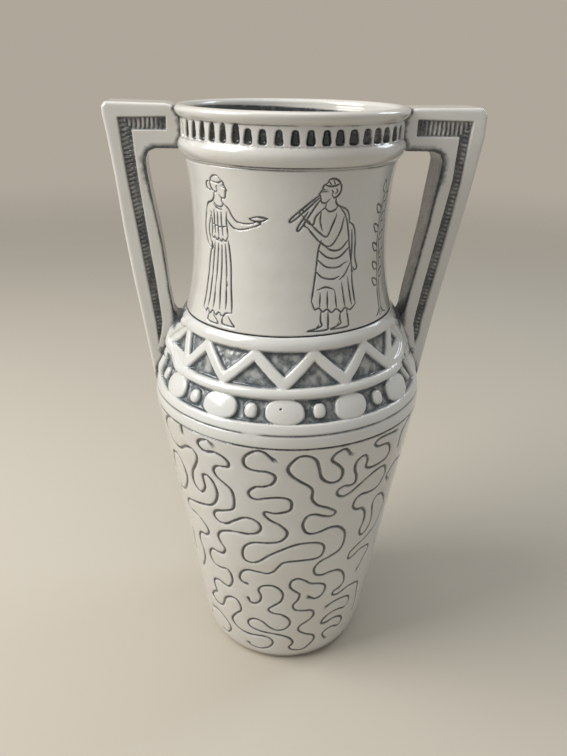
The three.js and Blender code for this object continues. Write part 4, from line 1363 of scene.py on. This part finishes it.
# %% Slots
SLOT_ANGLES = (
    -70.5, -63.5, -56.3, -49.2, -42.3, -35.6, -28.6, -22.4, -15.6, -8.1, -0.8, 6.2, 13.5, 19.9, 27.1, 34.8,
    41.8, 48.7, 56.8, 64.5, 71.5,
)
SLOT_FOOT = 267.6
SLOT_TOP = 273.7
TALL_SLOT_TOP = 275.1
TALL_SLOTS = (-68, -25)
SLOT_DEPTH = 1.8
SLOT_DRAWN_TALL = 6.1
SLOT_HALF = [
    (0.0, 0.0), (0.8, 0.05), (1.35, 0.4), (1.55, 1.2), (1.5, 2.6), (1.3, 4.0), (1.2, 5.0), (0.8, 5.8),
    (0.0, SLOT_DRAWN_TALL),
]


def slot_outline(number, angle, face):
    """A blunt tongue, flat below and a little narrower above. Those on the left reach the lip."""
    top = TALL_SLOT_TOP if TALL_SLOTS[0] < angle < TALL_SLOTS[1] else SLOT_TOP
    tall = top - SLOT_FOOT + 0.2 * wobble(number * 1.9, 3, face, 1.0, 13)
    wide = np.interp(angle, (-40, 0, 15, 48), (1.15, 1.22, 1.3, 1.7))
    wide += 0.14 * wobble(number * 2.7, 8, face, 1.0, 14)
    foot_up = collar_outline.up_to(SLOT_FOOT)
    middle = collar_outline.across(angle + face)
    right = [(x * wide, foot_up + y * tall / SLOT_DRAWN_TALL) for x, y in SLOT_HALF]
    left = [(-x, y) for x, y in right[-2:0:-1]]
    return soft_curve([(middle + x, y) for x, y in right + left], 0.35, closed=True)


slot_rings = []
for face in FACES:
    slot_rings += [slot_outline(number, angle, face) for number, angle in enumerate(SLOT_ANGLES)]
print("slots:", len(slot_rings))
slot_rings = wrapped(slot_rings, collar_outline.width)
slot_nearest = Nearest(slot_rings, collar_outline.width)


# %% Collar relief
def into_slots(points):
    """Distance into the nearest slot, below zero outside it."""
    up = points[:, 1]
    band = (up > collar_outline.up_to(SLOT_FOOT) - 0.5) & (up < collar_outline.up_to(TALL_SLOT_TOP) + 1.2)
    inside = np.zeros(len(points), bool)
    for ring in slot_rings:
        close = band & (points[:, 0] > ring[:, 0].min()) & (points[:, 0] < ring[:, 0].max())
        if close.any():
            inside[close] |= inside_ring(points[close], ring)
    gap = slot_nearest.distance(points)
    return np.where(inside, gap, -gap)


def beside_front(points):
    """Degrees round from the middle of the front or of the back, whichever is nearer."""
    angle = np.degrees(points[:, 0] / collar_outline.mean_radius) % 180.0
    return np.minimum(angle, 180.0 - angle)


def collar_lines_shade_and_stain(points):
    """Painted shade in the line under the roll, strongest at the front and uneven round the vase, and stain
    along both edges of the slot band, the upper one broken as it wore.
    """
    up = points[:, 1]
    roll_line = np.abs(up - collar_outline.up_to(ROLL_LINE - 0.2))
    band_foot = np.abs(up - collar_outline.up_to(SLOT_BAND_FOOT))
    band_top = np.abs(up - collar_outline.up_to(SLOT_BAND_TOP))
    # The line under the roll is a shallow groove whose dark colour is painted shade, where the roll
    # overhangs the neck.
    line_out, line_stain = groove(roll_line, 0.45, 0.3)
    faint = 0.3 + 0.7 * (1 - ease(beside_front(points), 28.0, 52.0))
    faint *= 0.7 + 0.3 * ease(noise_round(points, collar_outline, 20.0, 23), -0.25, 0.1)
    uneven = 0.3 + 0.7 * ease(noise_round(points, collar_outline, 9.0, 24), -0.3, 0.2)
    foot_stain = 0.5 * (1 - ease(band_foot, 0.1, 0.5))
    top_stain = 0.8 * (1 - ease(band_top, 0.15, 0.55)) * uneven
    return line_out, np.maximum.reduce([line_stain * faint, foot_stain, top_stain])


def collar_relief(points):
    """The slots and the line under the roll, with the stain and painted shade there, and painted shade on
    the inner edge of the lip.
    """
    into = into_slots(points)
    plain = ease(beside_front(points), 66.5, 68.5)
    slot_stain = ease(into, -0.15, 0.25) * (1 - 0.85 * plain)
    line_out, line_stain = collar_lines_shade_and_stain(points)
    radius, height = collar_outline.at(points[:, 1], 0.0)
    # Painted shade on the inner edge of the lip, on the left, out of the window's light.
    inner = ease(points[:, 1], collar_outline.length - 3.0, collar_outline.length - 2.4)
    lip_shade = inner * shade_inside(radius * np.sin(collar_outline.angle(points[:, 0])), height)
    crease = joint_stain(points, collar_outline)
    stain = np.maximum.reduce([slot_stain, line_stain, lip_shade, crease])
    return line_out - SLOT_DEPTH * ease(into, -0.2, 1.0), stain


# %% Collar
def collar_points():
    """Points close together along the slots and the straps, and rings all the way up."""
    rings = ring_points(collar_outline, np.linspace(0.35, collar_outline.length - 0.35, 62))
    fine = net(collar_outline.width, collar_outline.length, 0.6)
    fine = fine[sheet_strap_gap(fine, collar_outline)[0] < 2.0]
    rows = beside_lines(slot_rings, (0.0, 0.3, -0.3, 0.6, -0.6))
    return thin_out([*((row, 0.25) for row in rows), (fine, 0.35), (rings, 0.4)])


# The last number of each ring is painted shade inside the mouth.
collar = new_piece("collar", wall_inside(turned_sheet(collar_outline, collar_points(), collar_relief), [
    (45.55, 276.6, 1.0), (45.5, 276.2, 1.0), (45.4, 275.7, 1.0), (45.3, 275.2, 1.0), (45.25, 274.6, 1.0),
    (45.2, 274, 1.0), (45.0, 272, 1.0), (44.2, 268, 1.0), (43.3, 263, 1.0), COLLAR_INSIDE,
]))
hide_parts("rim_collar")

# %% [markdown]
# ## Handles
# A strap's front and back face are the same flat sheet, pressed in along its channel and rounded at
# its edge. The two sheets are bridged, and the band between them is divided to take its own shading.

# %% Strap faces
def rounded_edge(inset):
    """How far a face falls away at a distance from its edge."""
    inset = np.minimum(inset, STRAP_ROUNDING)
    return STRAP_ROUNDING - np.sqrt(np.maximum(STRAP_ROUNDING**2 - (STRAP_ROUNDING - inset) ** 2, 0))


def strap_face(points, side, channel, channel_edge):
    """How thick half the strap is at each point of its face, and the stain in the channel, with painted
    light on the rib crests.
    """
    into = channel_edge.distance(points)
    into[~inside_ring(points, channel)] *= -1
    x, z = points[:, 0], points[:, 1]
    elbow = (CHANNEL_INNER[side][-1], BAR_CHANNEL_FOOT[side])
    bar = (z - elbow[1]) > (x - elbow[0])
    phase = np.where(bar, x, z + 0.25 * x) * 2 * math.pi / RIB_PITCH
    uneven = np.array([wobble(a, b, side, 9.0, 16) for a, b in points])
    slip = np.array([wobble(a, b, side, 2.5, 17) for a, b in points])
    crest = ease(np.sin(phase + 0.9 * slip), -0.5, 0.6)
    thick = half_thickness(z) - rounded_edge(strap_edges[side].distance(points)) + 0.12 * uneven
    thick -= (CHANNEL_DEPTH - 0.55 * crest * ease(into, 0.3, 1.0)) * ease(into, -0.2, 0.75)
    inner = np.interp(z, CHANNEL_HEIGHTS, CHANNEL_INNER[side])
    outer = np.interp(z, CHANNEL_HEIGHTS, CHANNEL_OUTER[side])
    # The rib crests come out lighter towards the outer edge of the leg and along the bar, and darker at the
    # bar's end against the collar: partly stain wiped from the crests and partly painted light and shade.
    over = ease((x - inner) / np.maximum(outer - inner, 0.5), 0.35, 0.7)
    patchy_crests = np.clip(0.7 + 0.9 * uneven + 0.6 * slip, 0, 1.2)
    bar_painted_light = 0.75 * ease(x, BAR_CHANNEL_START + 1.8, BAR_CHANNEL_START + 3.6)
    light = np.where(bar, bar_painted_light, 0.05 + 0.42 * over) * patchy_crests
    stain = ease(into, 0.0, 0.55) * (0.95 - light * crest * ease(into, 0.4, 1.0))
    return thick, stain


def strap_shade_and_stain(x, y, z, side):
    """Painted shade over the inner face of the opening, and stain in the crease against the wall and in the
    crotch.
    """
    upright = side * unsheared(x, y)
    flat = np.column_stack([upright, z])
    ring = strap_rings[side]
    # The inner face of the opening, which faces the neck, is darkened as painted shade, most towards the
    # corner under the bar.
    middle = np.interp(z, GAP_HEIGHTS, LEG_INNER[side])
    facing = (ring[:, 1] > 184.5) & (ring[:, 1] < BAR_FOOT + 0.4)
    facing &= ring[:, 0] < np.interp(ring[:, 1], GAP_HEIGHTS, LEG_INNER[side]) + 1.5
    facing &= ring[:, 0] > 47
    opening = Nearest([ring[facing]]).distance(flat)
    opening = np.where(upright > middle + 3, 9.0, opening)
    streaks = np.array([0.6 * wobble(a * 0.3, b, c * 2, 2.2, 18) for a, b, c in zip(x, y, z)])
    corner = ease(z, 236, 256)
    thin = half_thickness(z) - np.abs(y)
    reach = opening + (0.3 + 0.5 * corner) * streaks
    stain = 0.96 * (1 - ease(reach, 0.3 + 0.6 * corner, 1.2 + 1.2 * corner))
    stain *= 1 - 0.16 * ease(thin, 1.5, 6.0)
    wall = np.hypot(x, y) - wall_radius(z) - swelling(z, side)
    stain = np.maximum(stain, 0.9 * (1 - ease(wall + 0.3 * streaks, 0.6, 1.5)))
    crotch = ease(z, 178, 182) * (1 - ease(z, 191, 195)) * (1 - ease(upright - middle, -1.5, 0.5))
    return np.maximum(stain, crotch * (1 - ease(wall + 2 * streaks, 5.0, 9.0)))


# %% Strap mesh
EDGE_OFFSETS = (-0.1, -0.3, -0.6, -1.0, -1.5, 0.1, 0.3, 0.6, 1.0, 1.5)
CHANNEL_OFFSETS = (0.0, 0.2, -0.2, 0.45, -0.45, 0.75, -0.75)


def strap_points(side, channel):
    """Points inside a strap's face, close together along its edge and in its channel."""
    ring = strap_rings[side]
    low, high = ring.min(axis=0), ring.max(axis=0)
    fine = net(*(high - low), 0.42) + low
    points = thin_out([
        *((row, 0.09) for row in rows_along(ring, EDGE_OFFSETS)),
        *((row, 0.18) for row in rows_along(channel, CHANNEL_OFFSETS)),
        (fine[inside_ring(fine, channel)], 0.3),
        (net(*(high - low), 1.4) + low, 0.8),
    ])
    return points[inside_ring(points, ring) & (strap_edges[side].distance(points) > 0.06)]


def strap(side):
    """A whole strap: two flat faces with their relief, bridged, stained, darkened with painted shade in the
    opening and sheared into place.
    """
    ring = strap_rings[side]
    channel = channel_ring(side)
    border = ring[:-1]
    count = len(border)
    flat = [Vector(point) for point in np.vstack([border, strap_points(side, channel)])]
    edges = [(i, (i + 1) % count) for i in range(count)]
    made = delaunay_2d_cdt(flat, edges, [], 1, FLAT_TOLERANCE, True)
    flat = np.array([tuple(v) for v in made[0]])
    centres = np.array([flat[list(triangle)].mean(axis=0) for triangle in made[2]])
    kept = inside_ring(centres, ring)
    thick, channel_stain = strap_face(flat, side, channel, Nearest([channel]))
    mesh = bmesh.new()
    layer = mesh.verts.layers.float.new("stain")
    for face_side in (-1, 1):
        corners = []
        for (x, z), half, held in zip(flat, thick, channel_stain):
            corner = mesh.verts.new((side * x, face_side * half, z))
            corner[layer] = held
            corners.append(corner)
        for triangle, wanted in zip(made[2], kept):
            if wanted:
                mesh.faces.new([corners[i] for i in triangle])
    band = bmesh.ops.bridge_loops(mesh, edges=[e for e in mesh.edges if e.is_boundary])
    bmesh.ops.subdivide_edges(mesh, edges=band["edges"], cuts=15, use_grid_fill=True)
    places = np.array([tuple(corner.co) for corner in mesh.verts])
    x = sheared(places[:, 0], places[:, 1])
    # Painted shade in the opening, and the stain in the creases.
    held = strap_shade_and_stain(x, places[:, 1], places[:, 2], side)
    for corner, across, stain in zip(mesh.verts, x, held):
        corner[layer] = max(stain, corner[layer])
        corner.co = (across * MM, corner.co.y * MM, corner.co.z * MM)
    bmesh.ops.recalc_face_normals(mesh, faces=mesh.faces)
    return mesh


strap_left = new_piece("strap_left", strap(-1))
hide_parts("handle_left")
strap_right = new_piece("strap_right", strap(1))
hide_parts("handle_right")

# %% [markdown]
# ## Glaze
# One cream glaze covers everything. It turns a little warmer in broad patches, carries fine specks from the
# clay, and lies over the stain, which the attribute called stain says where to find.

# %% Glaze pattern as a node group
GROUP_SOCKETS = (
    ("Glaze", "INPUT", "NodeSocketColor", (0.69, 0.66, 0.6, 1)),
    ("Warm", "INPUT", "NodeSocketColor", (0.62, 0.56, 0.46, 1)),
    ("Stain", "INPUT", "NodeSocketColor", (0.05, 0.07, 0.08, 1)),
    ("Mask", "INPUT", "NodeSocketFloat", 0.0),
    ("Speck", "INPUT", "NodeSocketFloat", 0.5),
    ("Color", "OUTPUT", "NodeSocketColor", None),
    ("Roughness", "OUTPUT", "NodeSocketFloat", None),
    ("Height", "OUTPUT", "NodeSocketFloat", None),
)


def glaze_group():
    """Colour, roughness and skin of the glaze, with specks in it and the stain under it."""
    group = bpy.data.node_groups.new("glaze over stain", "ShaderNodeTree")
    for name, way, kind, value in GROUP_SOCKETS:
        socket = group.interface.new_socket(name, in_out=way, socket_type=kind)
        if value is not None:
            socket.default_value = value
    nodes, links = group.nodes, group.links
    inputs = nodes.new("NodeGroupInput")
    outputs = nodes.new("NodeGroupOutput")
    where = nodes.new("ShaderNodeTexCoord")

    def noise_node(scale, detail, rough=0.5):
        node = nodes.new("ShaderNodeTexNoise")
        for socket, value in (("Scale", scale), ("Detail", detail), ("Roughness", rough)):
            node.inputs[socket].default_value = value
        links.new(where.outputs["Object"], node.inputs["Vector"])
        return node.outputs["Fac"]

    def remap(value, low, high, to_low=0.0, to_high=1.0):
        node = nodes.new("ShaderNodeMapRange")
        node.inputs["From Min"].default_value = low
        node.inputs["From Max"].default_value = high
        node.inputs["To Min"].default_value = to_low
        node.inputs["To Max"].default_value = to_high
        links.new(value, node.inputs["Value"])
        return node.outputs["Result"]

    def sums(kind, a, b):
        node = nodes.new("ShaderNodeMath")
        node.operation = kind
        for socket, value in zip(node.inputs, (a, b)):
            if isinstance(value, (int, float)):
                socket.default_value = value
            else:
                links.new(value, socket)
        return node.outputs[0]

    def mix(share, a, b):
        node = nodes.new("ShaderNodeMix")
        node.data_type = "RGBA"
        links.new(share, node.inputs["Factor"])
        links.new(a, node.inputs["A"])
        links.new(b, node.inputs["B"])
        return node.outputs["Result"]

    broad = remap(noise_node(28.0, 3.0), 0.35, 0.7, 0.0, 0.55)
    colour = mix(broad, inputs.outputs["Glaze"], inputs.outputs["Warm"])
    specks = nodes.new("ShaderNodeTexVoronoi")
    specks.inputs["Scale"].default_value = 260.0
    links.new(where.outputs["Object"], specks.inputs["Vector"])
    dot = remap(specks.outputs["Distance"], 0.02, 0.09, 1.0, 0.0)
    rare = remap(specks.outputs["Color"], 0.82, 0.86)
    dot = sums("MULTIPLY", sums("MULTIPLY", dot, rare), inputs.outputs["Speck"])
    colour = mix(dot, colour, inputs.outputs["Stain"])
    uneven = remap(noise_node(900.0, 4.0, 0.6), 0.25, 0.75, -0.16, 0.16)
    patchy = remap(noise_node(220.0, 3.0), 0.3, 0.7, -0.2, 0.14)
    unevenness = sums("MULTIPLY", sums("ADD", uneven, patchy), inputs.outputs["Mask"])
    mask = remap(sums("ADD", inputs.outputs["Mask"], unevenness), 0.05, 0.95)
    colour = mix(mask, colour, inputs.outputs["Stain"])
    links.new(colour, outputs.inputs["Color"])
    rough = remap(noise_node(90.0, 4.0), 0.3, 0.7, 0.16, 0.26)
    links.new(sums("ADD", rough, sums("MULTIPLY", mask, 0.1)), outputs.inputs["Roughness"])
    skin = sums("MULTIPLY", noise_node(170.0, 2.0), 1.0)
    grain = sums("MULTIPLY", noise_node(1300.0, 2.0), 0.12)
    links.new(sums("ADD", skin, grain), outputs.inputs["Height"])
    return group


glaze_pattern = glaze_group()


# %% Glaze materials
SPECK_STRENGTH = 0.5
SKIN_STRENGTH = 0.35
SKIN_HEIGHT = 0.0004


def glazed(name, glaze, warm, stain):
    """A glaze with its own three colours, in the shared pattern and under the same gloss."""
    material = bpy.data.materials.new(name)
    material.use_nodes = True
    nodes, links = material.node_tree.nodes, material.node_tree.links
    shader = nodes["Principled BSDF"]
    pattern = nodes.new("ShaderNodeGroup")
    pattern.node_tree = glaze_pattern
    for socket, colour in (("Glaze", glaze), ("Warm", warm), ("Stain", stain)):
        pattern.inputs[socket].default_value = (*colour, 1)
    pattern.inputs["Speck"].default_value = SPECK_STRENGTH
    # The stain attribute also carries painted shade: inside the mouth, on the inner faces of the handles'
    # openings and in the line under the collar's roll.
    mask = nodes.new("ShaderNodeAttribute")
    mask.attribute_name = "stain"
    links.new(mask.outputs["Fac"], pattern.inputs["Mask"])
    links.new(pattern.outputs["Color"], shader.inputs["Base Color"])
    links.new(pattern.outputs["Roughness"], shader.inputs["Roughness"])
    bump = nodes.new("ShaderNodeBump")
    bump.inputs["Distance"].default_value = SKIN_HEIGHT
    bump.inputs["Strength"].default_value = SKIN_STRENGTH
    links.new(pattern.outputs["Height"], bump.inputs["Height"])
    links.new(bump.outputs["Normal"], shader.inputs["Normal"])
    shader.inputs["Coat Weight"].default_value = 0.8
    shader.inputs["Coat Roughness"].default_value = 0.05
    return material


CREAM = (0.67, 0.655, 0.62)
WARM_CREAM = (0.61, 0.57, 0.49)
SLATE = (0.045, 0.056, 0.062)
body_glaze = glazed("body glaze", CREAM, WARM_CREAM, SLATE)
relief_glaze = glazed("relief glaze", (0.68, 0.68, 0.65), (0.62, 0.59, 0.52), (0.045, 0.064, 0.078))
neck_glaze = glazed("neck glaze", CREAM, WARM_CREAM, SLATE)
collar_glaze = glazed("collar glaze", CREAM, WARM_CREAM, (0.022, 0.03, 0.038))
handle_glaze = glazed("handle glaze", CREAM, WARM_CREAM, (0.05, 0.06, 0.068))
foot_glaze = glazed("foot glaze", (0.4, 0.37, 0.31), (0.34, 0.3, 0.23), SLATE)
for piece, material, slot in (
    (foot, foot_glaze, "foot_glaze"),
    (body, body_glaze, "body_glaze"),
    (shoulder, relief_glaze, "relief_glaze"),
    (neck, neck_glaze, "neck_glaze"),
    (collar, collar_glaze, "collar_glaze"),
    (strap_left, handle_glaze, "handle_glaze"),
    (strap_right, handle_glaze, "handle_glaze"),
):
    piece.data.materials.append(material)

# %% [markdown]
# ## Stage and light
# A plain pale paper floor runs out softly into the pale room, so that no horizon shows. One large
# window stands on the left, a little above the vase. A small light over the mouth and a far window
# behind on the right are much weaker, and the room gives the rest.

# %% Floor
FLOOR_RADIUS = 2.6
FADE_FROM = 0.55
FADE_TO = 1.7
ROOM_COLOUR = (0.43, 0.385, 0.325)

floor_maker = bmesh.new()
bmesh.ops.create_circle(floor_maker, cap_ends=True, segments=96, radius=FLOOR_RADIUS)
floor_mesh = bpy.data.meshes.new("floor")
floor_maker.to_mesh(floor_mesh)
floor_maker.free()
floor = bpy.data.objects.new("floor", floor_mesh)
bpy.context.scene.collection.objects.link(floor)
paper = bpy.data.materials.new("pale paper")
paper.use_nodes = True
paper_nodes, paper_links = paper.node_tree.nodes, paper.node_tree.links
paper_shader = paper_nodes["Principled BSDF"]
paper_shader.inputs["Base Color"].default_value = (0.56, 0.508, 0.424, 1)
paper_shader.inputs["Roughness"].default_value = 0.9
paper_shader.inputs["Specular IOR Level"].default_value = 0.2
paper_place = paper_nodes.new("ShaderNodeTexCoord")
paper_away = paper_nodes.new("ShaderNodeVectorMath")
paper_away.operation = "LENGTH"
paper_fade = paper_nodes.new("ShaderNodeMapRange")
paper_fade.interpolation_type = "SMOOTHSTEP"
for socket, value in (("From Min", FADE_FROM), ("From Max", FADE_TO), ("To Min", 1.0), ("To Max", 0.0)):
    paper_fade.inputs[socket].default_value = value
paper_links.new(paper_place.outputs["Object"], paper_away.inputs[0])
paper_links.new(paper_away.outputs["Value"], paper_fade.inputs["Value"])
paper_links.new(paper_fade.outputs["Result"], paper_shader.inputs["Alpha"])
floor_mesh.materials.append(paper)


# %% Lights
AIM_HEIGHT = 0.13


def soft_light(name, azimuth, elevation, distance, size, power, colour):
    """A square soft light that looks at the middle of the vase. Its azimuth is measured from the front."""
    light = bpy.data.lights.new(name, "AREA")
    light.shape = "SQUARE"
    light.size = size
    light.energy = power
    light.color = colour
    holder = bpy.data.objects.new(name, light)
    holder.visible_camera = False
    around, above = math.radians(azimuth), math.radians(elevation)
    middle = Vector((0, 0, AIM_HEIGHT))
    level = math.cos(above)
    away = Vector((level * math.sin(around), -level * math.cos(around), math.sin(above)))
    holder.location = middle + away * distance
    holder.rotation_euler = away.to_track_quat("Z", "Y").to_euler()
    bpy.context.scene.collection.objects.link(holder)


soft_light("window", -78, 40, 0.95, 0.62, 8.8, (1.0, 0.99, 0.965))
soft_light("ceiling", -30, 84, 0.5, 0.3, 0.45, (1.0, 1.0, 0.99))
soft_light("far window", 118, 38, 1.0, 0.34, 1.7, (0.84, 0.92, 1.0))

# %% Room
world = bpy.data.worlds.new("room")
world.use_nodes = True
world_nodes, world_links = world.node_tree.nodes, world.node_tree.links
room_light = world_nodes["Background"]
room_light.inputs["Color"].default_value = (0.94, 0.97, 1.0, 1)
room_light.inputs["Strength"].default_value = 0.4
room_seen = world_nodes.new("ShaderNodeBackground")
room_seen.inputs["Color"].default_value = (*ROOM_COLOUR, 1)
room_seen.inputs["Strength"].default_value = 1.0
ray = world_nodes.new("ShaderNodeLightPath")
seen = ray.outputs["Is Camera Ray"]
for kind in ("Is Glossy Ray", "Is Transmission Ray"):
    either_ray = world_nodes.new("ShaderNodeMath")
    either_ray.operation = "MAXIMUM"
    world_links.new(seen, either_ray.inputs[0])
    world_links.new(ray.outputs[kind], either_ray.inputs[1])
    seen = either_ray.outputs[0]
either = world_nodes.new("ShaderNodeMixShader")
world_links.new(seen, either.inputs[0])
world_links.new(room_light.outputs[0], either.inputs[1])
world_links.new(room_seen.outputs[0], either.inputs[2])
world_links.new(either.outputs[0], world_nodes["World Output"].inputs["Surface"])
bpy.context.scene.world = world
bpy.context.scene.view_settings.view_transform = "Standard"
